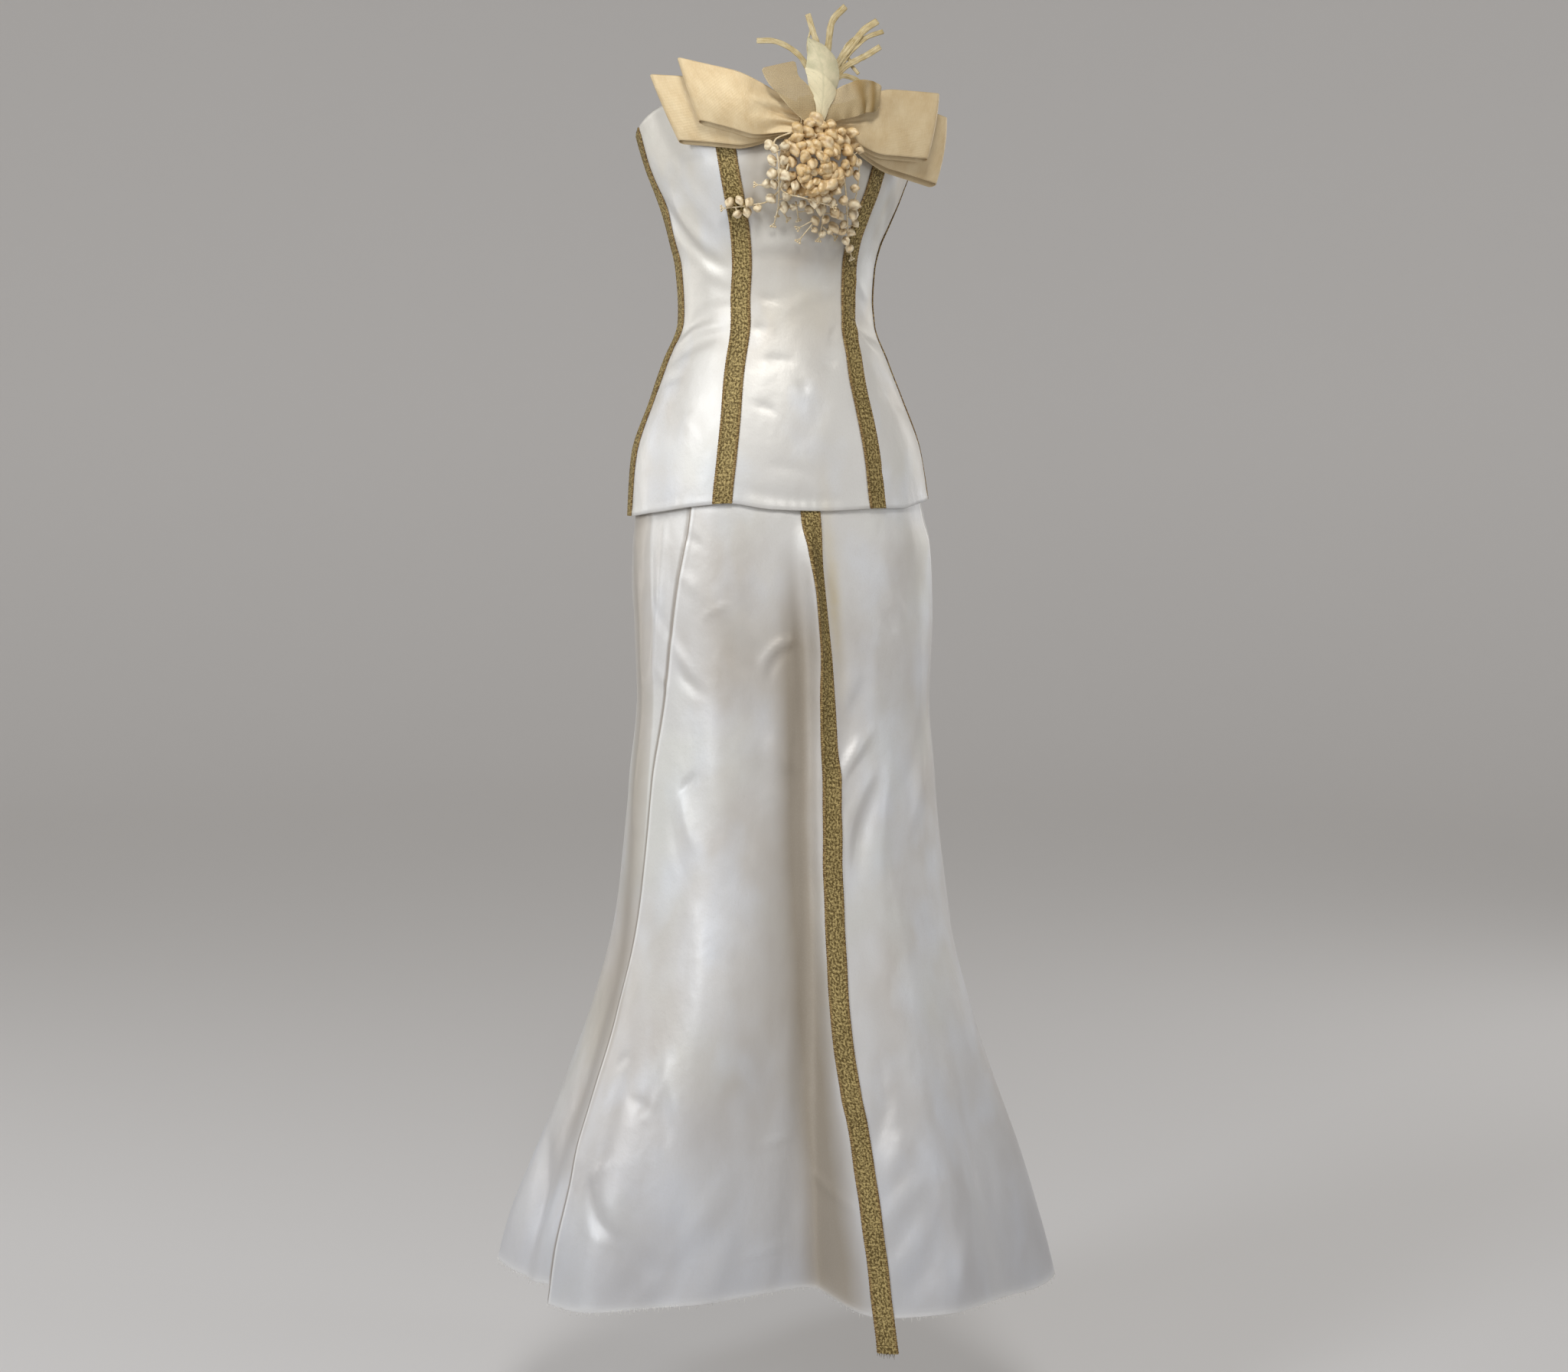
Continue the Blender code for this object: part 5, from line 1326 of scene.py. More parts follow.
def satin_finish(colours, name, frayed):
    """Ivory satin, warmer above and cooler below, with faint random clouds, old stains, and painted shade and
    shadow.
    """
    finish = Finish(
        name, colours.satin_warm,
        Metallic=0.34, Sheen_Weight=0.08, Sheen_Roughness=0.4, Specular_IOR_Level=0.5,
    )
    place, cloth = finish.object_place(), finish.cloth_place()
    x, y, z = finish.split(place)
    finish.tint(z.under(0.10, 0.5), colours.satin_cool)
    # Faint taupe clouds at random in the satin's colour.
    clouds = finish.noise(finish.stretched(place, 1, 1, 0.5), 8.0, 3.0, 0.55)
    finish.tint(clouds.over(0.46, 4.0) * 0.75, colours.satin_shade)
    patches = finish.noise(finish.stretched(place, 1.3, 1.3, 0.8), 13.0)
    finish.tint(patches.over(0.5, 5.0) * 0.65, colours.satin_blue)
    green = finish.noise(finish.stretched(place, 0.8, 0.8, 0.6), 11.0)
    finish.tint(green.over(0.52, 5.0) * 0.35, colours.satin_green)
    in_front = ((0 - y) * 20).held()
    streak = (x - 0.036 + (z + 0.33) * 0.09).near(0, 0.008) * z.near(-0.31, 0.085)
    stain_and_shadow_noise = finish.noise(place, 42.0)
    waist = x.near(0.006, 0.05) * z.near(-0.012, 0.03) * 0.22
    marks = ((streak + waist) * in_front * (0.25 + stain_and_shadow_noise * 1.2)).held()
    finish.tint(marks * 0.6, colours.stain)
    if frayed:
        skirt_shades(finish, colours, x, z, in_front, clouds)
    else:
        # Painted shadow of the bow and spray on the bodice, beside and below the spray.
        beside = x.near(-0.054, 0.016) * z.near(0.137, 0.048)
        below = x.near(0.014, 0.042) * z.near(0.045, 0.013)
        spray = ((beside + below * 0.8) * in_front * (0.4 + stain_and_shadow_noise * 0.7)).held()
        finish.tint(spray * 0.8, colours.painted_satin_shade)
    weave = finish.noise(finish.stretched(cloth, 1.0, 0.6, 1.0), 620.0, 3.0, 0.8)
    finish.tint(weave.over(0.5, 4.0) * 0.22, colours.satin_shade)
    if frayed:
        finish.tint(finish.attribute("hem_edge") * 0.7, colours.hem_white_and_painted_highlight)
    soft = finish.noise(finish.stretched(place, 1.0, 1.0, 0.6), 24.0, 2.0, 0.4)
    fine = finish.noise(finish.stretched(place, 1.0, 1.0, 0.8), 110.0)
    finish.bump(soft + fine * 0.12 + weave * 0.05, 0.0048, 0.5)
    return finish.done(Roughness=0.42 + finish.noise(place, 30.0) * 0.14)


def braid_finish(colours):
    """Antique gold braid: a knit of bright loops and dark hollows between two ribbed cords, that brightness
    painted as light and shade following the threads' height.
    """
    finish = Finish("antique gold braid", colours.braid_dark, Metallic=0.20, Specular_IOR_Level=0.4)
    cloth = finish.cloth_place()
    across, down, _ = finish.split(cloth)
    loops = finish.noise(finish.stretched(cloth, 1.0, 0.8, 1.0), 470.0, 1.0)
    speckle = finish.noise(cloth, 1100.0)
    patches = finish.noise(finish.object_place(), 24.0)
    ribs = down.wave(0.0021) * across.size().over(0.0070, 900)
    grain = (loops - 0.5) * 3.3 + (speckle - 0.5) * 1.9 + ribs * 0.26
    # The braid's painted light and shade, with random grain and patches, lift the gold over the dark base.
    finish.tint(finish.attribute("pile") * 0.60 + 0.24 + grain + (patches - 0.5) * 0.5, colours.braid_gold)
    finish.tint(across.size().over(0.0074, 700) * (patches + 0.1) * 0.6, colours.braid_rust)
    finish.bump(loops + speckle * 0.5 + ribs * 0.25, 0.0011, 0.9)
    return finish.done(Roughness=0.5 + speckle * 0.2)


def ribbon_finish(colours):
    """Champagne ribbon with fine ribs across it."""
    finish = Finish(
        "champagne ribbon", colours.ribbon_shade,
        Metallic=0.22, Sheen_Weight=0.15, Sheen_Roughness=0.35, Specular_IOR_Level=0.5,
    )
    cloth = finish.cloth_place()
    clouds = finish.noise(finish.stretched(cloth, 1.0, 1.4, 1.0), 26.0, 3.0)
    slubs = finish.noise(finish.stretched(cloth, 0.12, 1.0, 1.0), 1300.0)
    grain = finish.noise(cloth, 900.0, 2.0, 0.7)
    finish.tint(clouds.over(0.36, 2.6), colours.ribbon)
    finish.tint(slubs.over(0.5, 2.2) * 0.45, colours.ribbon_light)
    finish.tint(grain.over(0.5, 2.6) * 0.35, colours.ribbon_shade)
    ribs = finish.split(cloth)[0].wave(0.0011)
    finish.bump(finish.noise(cloth, 60.0) * 3.5 + ribs * 0.2 + slubs * 0.6 + grain * 0.5, 0.0005, 0.55)
    return finish.done(Roughness=0.36 + clouds * 0.16)


def organza_finish(colours):
    """Sheer tan organza, which shows its fine open weave."""
    finish = Finish("tan organza", colours.organza, Roughness=0.42, Specular_IOR_Level=0.5)
    cloth = finish.cloth_place()
    across, along, _ = finish.split(cloth)
    weave = across.wave(0.0017) * along.wave(0.0017)
    clouds = finish.noise(cloth, 60.0)
    grain = finish.noise(cloth, 800.0, 2.0, 0.7)
    selvedge, stripe = finish.attribute("edge"), finish.attribute("vein")
    finish.tint(clouds * 0.7 + selvedge * 0.5 + (grain - 0.5) * 1.2, colours.organza_light)
    finish.tint(stripe * 0.85, colours.organza_gold)
    sheer = 0.66 + weave * 0.14 + selvedge * 0.25 + (grain - 0.5) * 0.4 + stripe * 0.3
    finish.bump(weave + grain, 0.0003, 0.6)
    return finish.done(Alpha=sheer.held())


def leaf_finish(colours):
    """Cloth leaf, cream above and paler on the part that is folded over."""
    finish = Finish("cloth leaf", colours.leaf, Roughness=0.62, Sheen_Weight=0.15)
    vein = finish.attribute("vein")
    grain = finish.noise(finish.cloth_place(), 900.0, 2.0, 0.7)
    finish.tint(finish.noise(finish.object_place(), 90.0, 3.0).over(0.3, 1.8), colours.leaf_vein)
    finish.tint(finish.attribute("edge") * 0.8, colours.leaf_light)
    finish.tint(vein * 0.5, colours.leaf_vein)
    finish.tint(grain.over(0.5, 3.0) * 0.35, colours.leaf_vein)
    finish.bump(grain + vein * 0.8, 0.0004, 0.7)
    return finish.done()


def straw_finish(colours):
    """Flat straw with long fibres."""
    finish = Finish("flat straw", colours.straw_dark, Roughness=0.5, Specular_IOR_Level=0.4)
    fibres = finish.noise(finish.stretched(finish.cloth_place(), 1.0, 0.05, 1.0), 1500.0, 3.0)
    finish.tint(fibres.over(0.38, 3.2), colours.straw)
    finish.tint(finish.noise(finish.object_place(), 130.0).over(0.35, 2.0) * 0.6, colours.straw_light)
    finish.bump(fibres, 0.0007, 0.9)
    return finish.done()


def bud_finish(colours):
    """Wax buds, from ochre in the thick of the spray to ivory at its edge."""
    finish = Finish(
        "wax buds", colours.bud_peach, Specular_IOR_Level=0.55, Coat_Weight=0.15, Coat_Roughness=0.3
    )
    clouds = finish.noise(finish.object_place(), 240.0, 3.0)
    finish.tint(finish.attribute("paleness") + (clouds - 0.5) * 1.3, colours.bud_ivory)
    finish.tint(clouds.over(0.5, 5.0) * 0.35, colours.bud_light)
    # Painted shade in the petal partings, and the darker tip.
    finish.tint(finish.attribute("tip") * 0.8, colours.bud_brown_and_painted_shade)
    finish.bump(clouds, 0.0010, 0.7)
    return finish.done(Roughness=0.3 + clouds * 0.3)


def stem_finish(colours):
    finish = Finish("paper stems", colours.stem, Roughness=0.7)
    clouds = finish.noise(finish.object_place(), 300.0)
    finish.tint(clouds.over(0.4, 3.0), colours.bud_ivory)
    finish.bump(clouds, 0.0003, 0.6)
    return finish.done()


def thread_finish(colours):
    finish = Finish("white hem threads", colours.hem_white_and_painted_highlight, Roughness=0.7)
    finish.tint(finish.noise(finish.object_place(), 500.0), colours.satin_warm)
    return finish.done()


def floor_finish(colours):
    finish = Finish(
        "studio floor", colours.floor, Roughness=0.9, Specular_IOR_Level=0.2, Emission_Strength=FLOOR_GLOW
    )
    finish.shader.inputs["Emission Color"].default_value = (1.0, 0.95, 0.89, 1.0)
    finish.tint(finish.noise(finish.object_place(), 2.0, 3.0) * 0.25, (0.54, 0.54, 0.55))
    return finish.done()


# Sizes and colours that a user may change


def length(name, description, default):
    return bpy.props.FloatProperty(
        name=name, description=description, default=default, min=0.0, unit="LENGTH"
    )


def colour(name, description, default):
    return bpy.props.FloatVectorProperty(
        name=name, description=description, default=default, size=3, min=0.0, max=1.0, subtype="COLOR"
    )


class CostumeSizes(bpy.types.PropertyGroup):
    corset_cell: length("Corset cell", "Size of the corset's mesh cells", 0.0038)
    skirt_cell: length("Skirt cell", "Size of the skirt's mesh cells", 0.0046)
    braid_step: length("Braid step", "Distance between rows of the braid's mesh", 0.00105)
    ribbon: length("Ribbon thickness", "Thickness of the bow's ribbon", 0.0009)
    organza: length("Organza thickness", "Thickness of the sheer pieces", 0.0006)
    leaf: length("Leaf thickness", "Thickness of the cloth leaf", 0.0009)
    braid_tail: length("Braid tail", "How far the skirt's braid hangs below the hem", 0.036)
    thread_spacing: length("Thread spacing", "Distance between loose threads at the hem", 0.0024)


class CostumeColours(bpy.types.PropertyGroup):
    satin_warm: colour("Warm satin", "Satin over the chest", (0.70, 0.675, 0.615))
    satin_cool: colour("Cool satin", "Satin over the skirt", (0.70, 0.695, 0.69))
    # Painted shade in the skirt's fold, middle and far left, and painted shadow of the bow and spray on the
    # bodice.
    painted_satin_shade: colour(
        "Shaded folds", "Taupe shade in the deep fold and below the spray", (0.37, 0.32, 0.255)
    )
    # Painted shade on the lower skirt.
    lower_skirt_painted_shade: colour("Lower skirt", "Cooler grey towards the hem", (0.49, 0.50, 0.54))
    # Painted shadow beside the laps and painted shade where the turned lap edges roll under.
    lap_painted_shadow: colour("Lap shadow", "The thin dark line beside a lap", (0.27, 0.225, 0.18))
    # Random taupe clouds in the satin's colour.
    satin_shade: colour("Satin clouds", "Faint taupe clouds of age in the satin", (0.53, 0.485, 0.43))
    satin_blue: colour("Blue satin", "Cooler patches in the satin", (0.74, 0.765, 0.81))
    satin_green: colour("Green satin", "Faintly greenish patches in the satin", (0.66, 0.67, 0.59))
    stain: colour("Stain", "Yellowed patches", (0.66, 0.54, 0.30))
    # The raw hem's real white, also used as the painted highlight on the turned lap edges.
    hem_white_and_painted_highlight: colour("Raw hem", "The white of the frayed hem", (0.90, 0.90, 0.89))
    braid_gold: colour("Braid gold", "The braid's bright threads", (0.52, 0.40, 0.165))
    # The braid's dark base, showing as painted shade in its hollows and in its random grain.
    braid_dark: colour("Braid shade", "The braid's dark hollows", (0.095, 0.060, 0.010))
    braid_rust: colour("Braid edge", "The rusty tone of the braid's cords", (0.27, 0.145, 0.052))
    ribbon: colour("Ribbon", "Champagne ribbon", (0.77, 0.63, 0.395))
    ribbon_shade: colour("Ribbon shade", "Darker clouds in the ribbon", (0.62, 0.465, 0.255))
    ribbon_light: colour("Ribbon light", "Lighter threads in the ribbon", (0.86, 0.76, 0.55))
    organza: colour("Organza", "Tan organza", (0.50, 0.37, 0.185))
    organza_light: colour("Organza light", "Lighter organza", (0.63, 0.50, 0.29))
    organza_gold: colour("Organza gold", "The golden stripe woven into it", (0.26, 0.155, 0.035))
    leaf: colour("Leaf", "Cloth leaf", (0.68, 0.60, 0.40))
    leaf_light: colour("Leaf light", "The paler folded part of the leaf", (0.76, 0.67, 0.44))
    leaf_vein: colour("Leaf vein", "Greener parts of the leaf", (0.43, 0.41, 0.25))
    straw: colour("Straw", "Flat straw", (0.63, 0.52, 0.29))
    straw_light: colour("Straw light", "Lighter straw", (0.74, 0.65, 0.43))
    straw_dark: colour("Straw dark", "Straw's dark fibres", (0.36, 0.26, 0.10))
    bud_peach: colour("Ochre bud", "Buds in the thick of the spray", (0.67, 0.465, 0.215))
    bud_light: colour("Bud light", "Waxy lights on the buds", (0.90, 0.76, 0.51))
    bud_ivory: colour("Ivory bud", "Buds at the spray's edge", (0.80, 0.70, 0.50))
    # Painted shade in the buds' petal partings, and their darker tips.
    bud_brown_and_painted_shade: colour("Bud parting", "The brown between the buds' petals", (0.25, 0.125, 0.030))
    stem: colour("Stem", "Paper stems", (0.62, 0.49, 0.29))
    floor: colour("Floor", "The studio floor and backdrop", (0.50, 0.50, 0.51))


# Operators


class Adding(bpy.types.Operator):
    bl_options = {"REGISTER", "UNDO"}

    def finished(self, made):
        if not made:
            raise RuntimeError(f"{self.bl_label} made no piece")
        return {"FINISHED"}


def flat_facts(mesh):
    """The width, length and area of a sheet laid out flat, read from its cloth map."""
    layer = mesh.uv_layers["cloth"]
    places = np.empty(len(mesh.loops) * 2, np.float32)
    layer.data.foreach_get("uv", places)
    places = places.reshape(-1, 2)
    size = places.max(axis=0) - places.min(axis=0)
    area = sum(polygon.area for polygon in mesh.polygons) / 2
    return float(size[0]), float(size[1]), float(area)


def declare_sheet(piece):
    wide, long, area = flat_facts(piece.data)


class COSTUME_OT_corset(Adding):
    """Adds the corset's five boned satin panels"""

    bl_idname = "costume.corset"
    bl_label = "Add corset panels"

    def execute(self, context):
        sizes, colours = context.scene.costume_sizes, context.scene.costume_colours
        satin = satin_finish(colours, "ivory corset satin", False)
        panels = (
            ("corset_centre_front", front_seam_right, front_seam_left),
            ("corset_side_front_left", front_seam_left, side_seam),
            ("corset_side_front_right", side_seam_right, front_seam_right),
            ("corset_back_left", side_seam, centre_back),
            ("corset_back_right", centre_back_right, side_seam_right),
        )
        for node, low, high in panels:
            mesh = cloth_panel(
                node, corset_form, corset_relief, low, high, neckline, corset_hem,
                0.0, CORSET_CLOTH, sizes.corset_cell, ("top", "hem"),
            )
            piece = place_piece(f"satin_{node}", mesh, satin, "satin", node)
            declare_sheet(piece)
        return self.finished(panels)


class COSTUME_OT_skirt(Adding):
    """Adds the skirt's five satin panels, two of which lap over their neighbours"""

    bl_idname = "costume.skirt"
    bl_label = "Add skirt panels"

    def execute(self, context):
        sizes, colours = context.scene.costume_sizes, context.scene.costume_colours
        satin = satin_finish(colours, "ivory skirt satin", True)
        right_end = moved(skirt_form, right_lap, LAP_WIDTH)
        left_start = moved(skirt_form, left_lap, -LAP_WIDTH)
        panels = (
            ("skirt_front_right", right_lap, skirt_braid_line, front_hem, 0.0, ("low",), ()),
            ("skirt_front_left", skirt_braid_line, left_lap, front_hem, 0.0, ("high",), ()),
            ("skirt_side_right", back_right_seam, right_end, back_hem, -LAP_DROP, (), ("high",)),
            ("skirt_back_right", centre_back_right, back_right_seam, back_hem, -LAP_DROP, (), ()),
            ("skirt_back_left", left_start, centre_back, back_hem, -LAP_DROP, (), ("low",)),
        )
        for node, low, high, hem, level, folded, covered in panels:
            mesh = cloth_panel(
                node, skirt_form, skirt_relief, low, high, skirt_top, hem,
                level, SKIRT_CLOTH, sizes.skirt_cell, folded, covered,
            )
            solids = [node, "skirt_side_right_top"] if node == "skirt_side_right" else [node]
            piece = place_piece(f"satin_{node}", mesh, satin, "satin", *solids)
            declare_sheet(piece)
        return self.finished(panels)


class COSTUME_OT_waistband(Adding):
    """Adds the skirt's plain waistband, hidden under the corset"""

    bl_idname = "costume.waistband"
    bl_label = "Add waistband"

    def execute(self, context):
        satin = satin_finish(context.scene.costume_colours, "ivory waistband satin", False)
        sides = (90 + WAISTBAND_OPEN, 450 - WAISTBAND_OPEN, WAISTBAND_HALF, -WAISTBAND_HALF)
        angles, heights, across = panel_grid(skirt_form, *map(level_line, sides), WAISTBAND_CELL)
        level = -0.0012 + 0.0002 * uneven(angles, heights, 5)
        outer = laid(skirt_form, angles, heights, level)
        inner = laid(skirt_form, angles, heights, level - WAISTBAND_THICK)
        mesh = cloth_mesh("waistband", outer, inner, across, heights)
        piece = place_piece("satin_waistband", mesh, satin, "satin", "waistband")
        flat_facts(mesh)[0]
        return self.finished([piece])


class COSTUME_OT_braid(Adding):
    """Adds the gold braid over the corset's seams and down the skirt"""

    bl_idname = "costume.braid"
    bl_label = "Add gold braid"

    def execute(self, context):
        sizes, colours = context.scene.costume_sizes, context.scene.costume_colours
        gold = braid_finish(colours)
        corset = (corset_form, corset_relief, neckline, corset_hem, 0.0)
        skirt = (skirt_form, skirt_relief, braid_start, front_hem, sizes.braid_tail)
        braids = (
            ("braid_front_left", corset, front_seam_left, "corset_centre_front", "corset_side_front_left"),
            ("braid_front_right", corset, front_seam_right, "corset_centre_front", "corset_side_front_right"),
            ("braid_side_left", corset, side_seam, "corset_side_front_left", "corset_back_left"),
            ("braid_side_right", corset, side_seam_right, "corset_side_front_right", "corset_back_right"),
            ("braid_skirt", skirt, skirt_braid_line, "skirt_front_left", "skirt_front_right"),
        )
        for node, (form, relief, top, hem, tail), line, *under in braids:
            mesh, long = braid_mesh(node, form, relief, line, top, hem, tail, sizes.braid_step)
            piece = place_piece(f"gold_{node}", mesh, gold, "braid", node)
        return self.finished(braids)


class COSTUME_OT_hem_threads(Adding):
    """Adds the loose threads of the skirt's raw hem and of the braid's cut end"""

    bl_idname = "costume.hem_threads"
    bl_label = "Add hem threads"

    def execute(self, context):
        sizes, colours = context.scene.costume_sizes, context.scene.costume_colours
        right, left = float(right_lap(RIGHT_LAP_END)), float(left_lap(LEFT_LAP_END))
        sweeps = (
            (right, left, front_hem, -SKIRT_CLOTH / 2),
            (left, 360 + right, back_hem, -LAP_DROP - SKIRT_CLOTH / 2),
        )
        threads, number = [], 0
        for start, end, hem, level in sweeps:
            angle = start
            while angle < end:
                number += 1
                height = float(hem(angle))
                if number % 5:
                    threads.append(hem_thread(skirt_form, angle, height, level, number))
                step = sizes.thread_spacing * (1 + 0.4 * math.sin(number * 3.1))
                angle += float(degrees_across(skirt_form, angle, height, step))
        place_piece("hem_threads", tubes_mesh("hem_threads", threads, 3), thread_finish(colours), "satin")
        low, ends = float(skirt_braid_line(BRAID_END)), []
        for number, side in enumerate(np.linspace(-0.46, 0.46, 23) * BRAID_WIDTH):
            height = float(front_hem(low)) - sizes.braid_tail
            angle = low + float(degrees_across(skirt_form, low, height, side))
            ends.append(hem_thread(skirt_form, angle, height, BRAID_THICK / 2, number + 40))
        mesh = tubes_mesh("braid_threads", ends, 3)
        mesh.uv_layers.new(name="cloth")
        place_piece("braid_threads", mesh, braid_finish(colours), "braid")
        return self.finished(threads)


class COSTUME_OT_bow(Adding):
    """Adds the bow's four ribbon loops and the ribbon wound round its middle"""

    bl_idname = "costume.bow"
    bl_label = "Add ribbon bow"

    def execute(self, context):
        sizes, colours = context.scene.costume_sizes, context.scene.costume_colours
        ribbon = ribbon_finish(colours)
        for loop in LOOPS:
            mesh, flat = loop_mesh(loop, sizes.ribbon)
            piece = place_piece(f"ribbon_{loop.name}", mesh, ribbon, "ribbon", loop.name)
        grid = wrap_grid()
        down = lengths_along(grid)[:, None] + 0 * grid[..., 0]
        mesh = wound_mesh("ribbon_wrap", grid, down)
        piece = place_piece("ribbon_wrap", mesh, ribbon, "ribbon", "bow_wrap")
        return self.finished([piece])


class COSTUME_OT_blades(Adding):
    """Adds the cloth leaf and the two sheer organza pieces"""

    bl_idname = "costume.blades"
    bl_label = "Add leaf and organza"

    def execute(self, context):
        sizes, colours = context.scene.costume_sizes, context.scene.costume_colours
        organza, green = organza_finish(colours), leaf_finish(colours)
        blades = (
            ("leaf", LEAF, 0.35, 30, 64, 0.0008, sizes.leaf, green, "leaf"),
            ("organza_tab_left", LEFT_TAB, 0.10, 24, 60, 0.0007, sizes.organza, organza, "organza"),
            ("organza_petal_right", RIGHT_PETAL, 0.16, 30, 64, 0.0016, sizes.organza, organza, "organza"),
        )
        for node, rows, cup, across_steps, along_steps, ripple, thick, finish, slot in blades:
            grid, along, side, reach = blade_grid(rows, cup, across_steps, along_steps, ripple)
            edge = ease((np.abs(side) - 0.93) / 0.05)
            if node == "leaf":
                ribs = np.sin((along * 8 - np.abs(side) * 2.3) * math.pi)
                vein = bell(side + 0.1, 0.05) + 0.6 * bell(ribs, 0.16)
                flap = ease((0.50 - along - side * 0.16) / 0.03)
                grid = grid + facings(grid) * (0.0013 * flap - 0.0004 * vein)[..., None]
                edge = flap
            else:
                stripes = bell(along - 0.66, 0.075) + bell(along - 0.83, 0.05)
                vein = stripes * (node != "organza_tab_left")
                grid = grid + facings(grid) * (0.0012 * vein)[..., None]
            down = lengths_along(grid)[:, None] + 0 * side
            mesh = sheet_mesh(node, grid, thick, reach, down, vein=np.minimum(vein, 1.0), edge=edge)
            piece = place_piece(f"cloth_{node}", mesh, finish, slot, node)
            declare_sheet(piece)
        return self.finished(blades)


class COSTUME_OT_straws(Adding):
    """Adds the flat straws that fan up from the bow"""

    bl_idname = "costume.straws"
    bl_label = "Add straws"

    def execute(self, context):
        strips = [linked("straw", straw_mesh(number, strip)) for number, strip in enumerate(STRAWS)]
        bpy.ops.object.select_all(action="DESELECT")
        bpy.ops.mesh.primitive_uv_sphere_add(
            segments=16, ring_count=10, radius=1.0, location=KNOT + STRAW_ROOT
        )
        root = context.object
        root.scale = STRAW_ROOT_HALF
        bpy.ops.object.transform_apply(location=True, rotation=False, scale=True)
        root.data.uv_layers[0].name = "cloth"
        root.data.shade_smooth()
        finish = straw_finish(context.scene.costume_colours)
        finish_piece(joined("straw_fan", [*strips, root]), finish, "straw", "straw_strips")
        return self.finished(strips)


class COSTUME_OT_spray(Adding):
    """Adds the spray of wax buds on its paper stems"""

    bl_idname = "costume.spray"
    bl_label = "Add bud spray"

    def execute(self, context):
        colours = context.scene.costume_colours
        model = model_bud()
        copies = bud_copies(model, dome_buds() + list(LOOSE_BUDS))
        bpy.data.objects.remove(model, do_unlink=True)
        finish_piece(joined("wax_buds", copies), bud_finish(colours), "buds", "bud_spray")
        place_piece("spray_stems", tubes_mesh("spray_stems", stem_tubes(), 5), stem_finish(colours), "buds")
        return self.finished(copies)


class COSTUME_OT_stage(Adding):
    """Adds the pale floor with its wall all round, the soft lights and the camera"""

    bl_idname = "costume.stage"
    bl_label = "Add stage, lights and camera"

    def execute(self, context):
        bpy.ops.object.select_all(action="DESELECT")
        bpy.ops.mesh.primitive_grid_add(
            x_subdivisions=FLOOR_STEPS[0], y_subdivisions=FLOOR_STEPS[1], size=1.0
        )
        floor = context.object
        for point in floor.data.vertices:
            turn, run = -point.co.x * 2 * math.pi, (point.co.y + 0.5) * FLOOR_RUN
            bend = min(max((run - FLOOR_FLAT) / FLOOR_BEND, 0.0), math.pi / 2)
            out = min(run, FLOOR_FLAT) + FLOOR_BEND * math.sin(bend)
            rise = FLOOR_BEND * (1 - math.cos(bend)) + max(run - FLOOR_FLAT - FLOOR_BEND * math.pi / 2, 0.0)
            point.co = (out * math.cos(turn), out * math.sin(turn), rise + FLOOR_HEIGHT)
        bpy.ops.object.mode_set(mode="EDIT")
        bpy.ops.mesh.select_all(action="SELECT")
        bpy.ops.mesh.remove_doubles(threshold=0.001)
        bpy.ops.object.mode_set(mode="OBJECT")
        floor.name = floor.data.name = "studio_floor"
        floor.data.shade_smooth()
        floor.data.materials.append(floor_finish(context.scene.costume_colours))
        for name, place, aim, size, power, tone in LIGHTS:
            data = bpy.data.lights.new(name, "AREA")
            data.shape = "RECTANGLE"
            data.size, data.size_y = size
            data.energy, data.color = power, tone
            light = bpy.data.objects.new(name, data)
            context.scene.collection.objects.link(light)
            light.matrix_world = facing_matrix(Vector(place), Vector(aim))
        world = bpy.data.worlds.new("soft studio")
        world.use_nodes = True
        sky = world.node_tree.nodes["Background"].inputs
        sky["Color"].default_value = (1.0, 0.90, 0.80, 1.0)
        sky["Strength"].default_value = WORLD_LIGHT
        context.scene.world = world
        context.scene.view_settings.view_transform = "Standard"
        add_camera(context.scene)
        return self.finished([floor])


def facing_matrix(place, aim):
    turned = (aim - place).to_track_quat("-Z", "Y").to_matrix().to_4x4()
    return Matrix.Translation(place) @ turned


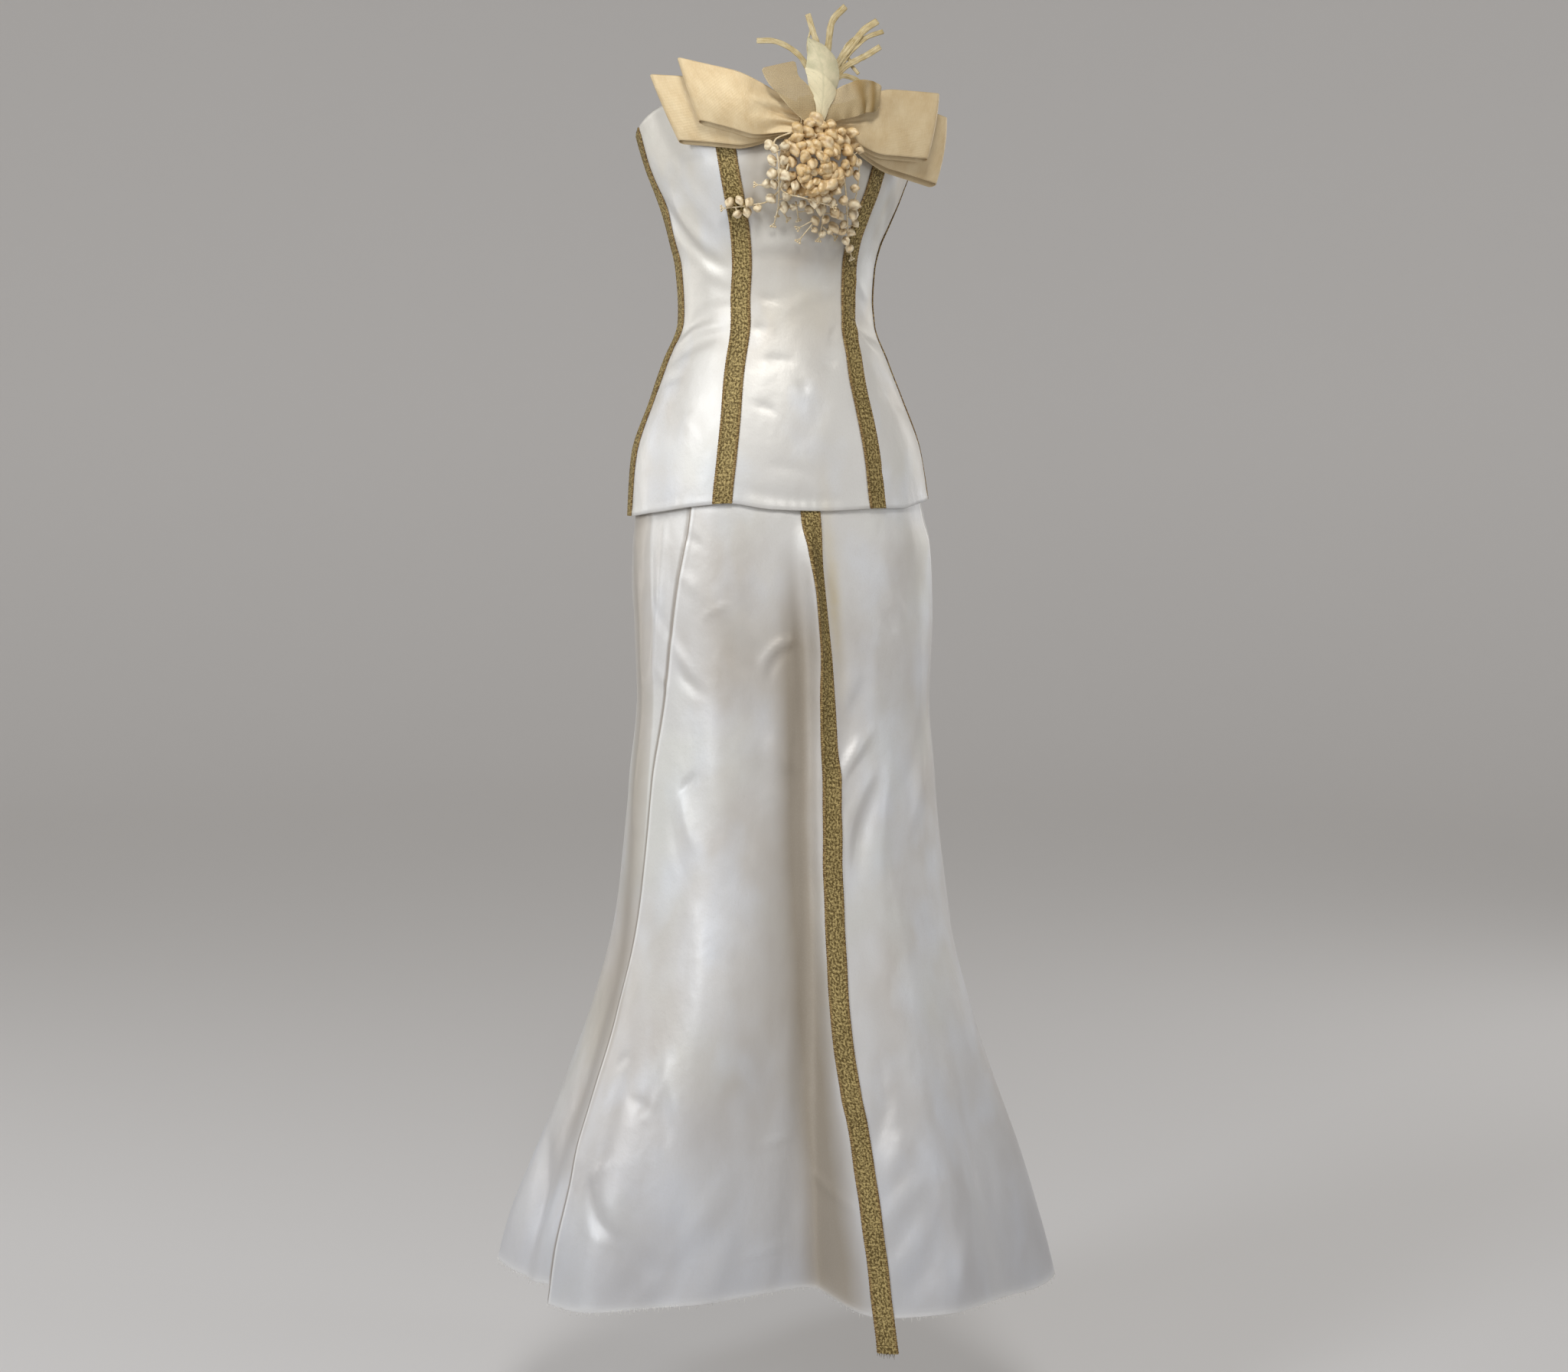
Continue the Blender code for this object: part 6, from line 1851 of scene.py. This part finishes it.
def add_camera(scene):
    turn, lift = math.radians(CAMERA_AZIMUTH), math.radians(CAMERA_HEIGHT_ANGLE)
    right = Vector((math.cos(turn), math.sin(turn), 0))
    back = Vector((math.sin(turn) * math.cos(lift), -math.cos(turn) * math.cos(lift), math.sin(lift)))
    aim = Vector((0, 0, CAMERA_AIM_HEIGHT)) + right * CAMERA_ASIDE
    data = bpy.data.cameras.new("view")
    data.lens = CAMERA_LENS
    camera = bpy.data.objects.new("view", data)
    scene.collection.objects.link(camera)
    up = back.cross(right)
    axes = Matrix((right, up, back)).transposed().to_4x4()
    camera.matrix_world = Matrix.Translation(aim + back * CAMERA_DISTANCE) @ axes
    scene.camera = camera


# The sidebar's panel

OPERATORS = (
    COSTUME_OT_corset,
    COSTUME_OT_skirt,
    COSTUME_OT_waistband,
    COSTUME_OT_braid,
    COSTUME_OT_hem_threads,
    COSTUME_OT_bow,
    COSTUME_OT_blades,
    COSTUME_OT_straws,
    COSTUME_OT_spray,
    COSTUME_OT_stage,
)


class COSTUME_PT_panel(bpy.types.Panel):
    bl_label = "Costume"
    bl_idname = "COSTUME_PT_panel"
    bl_space_type = "VIEW_3D"
    bl_region_type = "UI"
    bl_category = "Costume"

    def draw(self, context):
        for operator in OPERATORS:
            self.layout.operator(operator.bl_idname)
        for group in (context.scene.costume_sizes, context.scene.costume_colours):
            box = self.layout.box()
            for key in group.__annotations__:
                box.prop(group, key)


CLASSES = (CostumeSizes, CostumeColours, *OPERATORS, COSTUME_PT_panel)


def register():
    for kind in CLASSES:
        bpy.utils.register_class(kind)
    bpy.types.Scene.costume_sizes = bpy.props.PointerProperty(type=CostumeSizes)
    bpy.types.Scene.costume_colours = bpy.props.PointerProperty(type=CostumeColours)


def unregister():
    del bpy.types.Scene.costume_colours
    del bpy.types.Scene.costume_sizes
    for kind in reversed(CLASSES):
        bpy.utils.unregister_class(kind)


def main():
    register()
    bpy.ops.costume.corset()
    bpy.ops.costume.skirt()
    bpy.ops.costume.waistband()
    bpy.ops.costume.braid()
    bpy.ops.costume.hem_threads()
    bpy.ops.costume.bow()
    bpy.ops.costume.blades()
    bpy.ops.costume.straws()
    bpy.ops.costume.spray()
    bpy.ops.costume.stage()


if __name__ == "__main__":
    main()
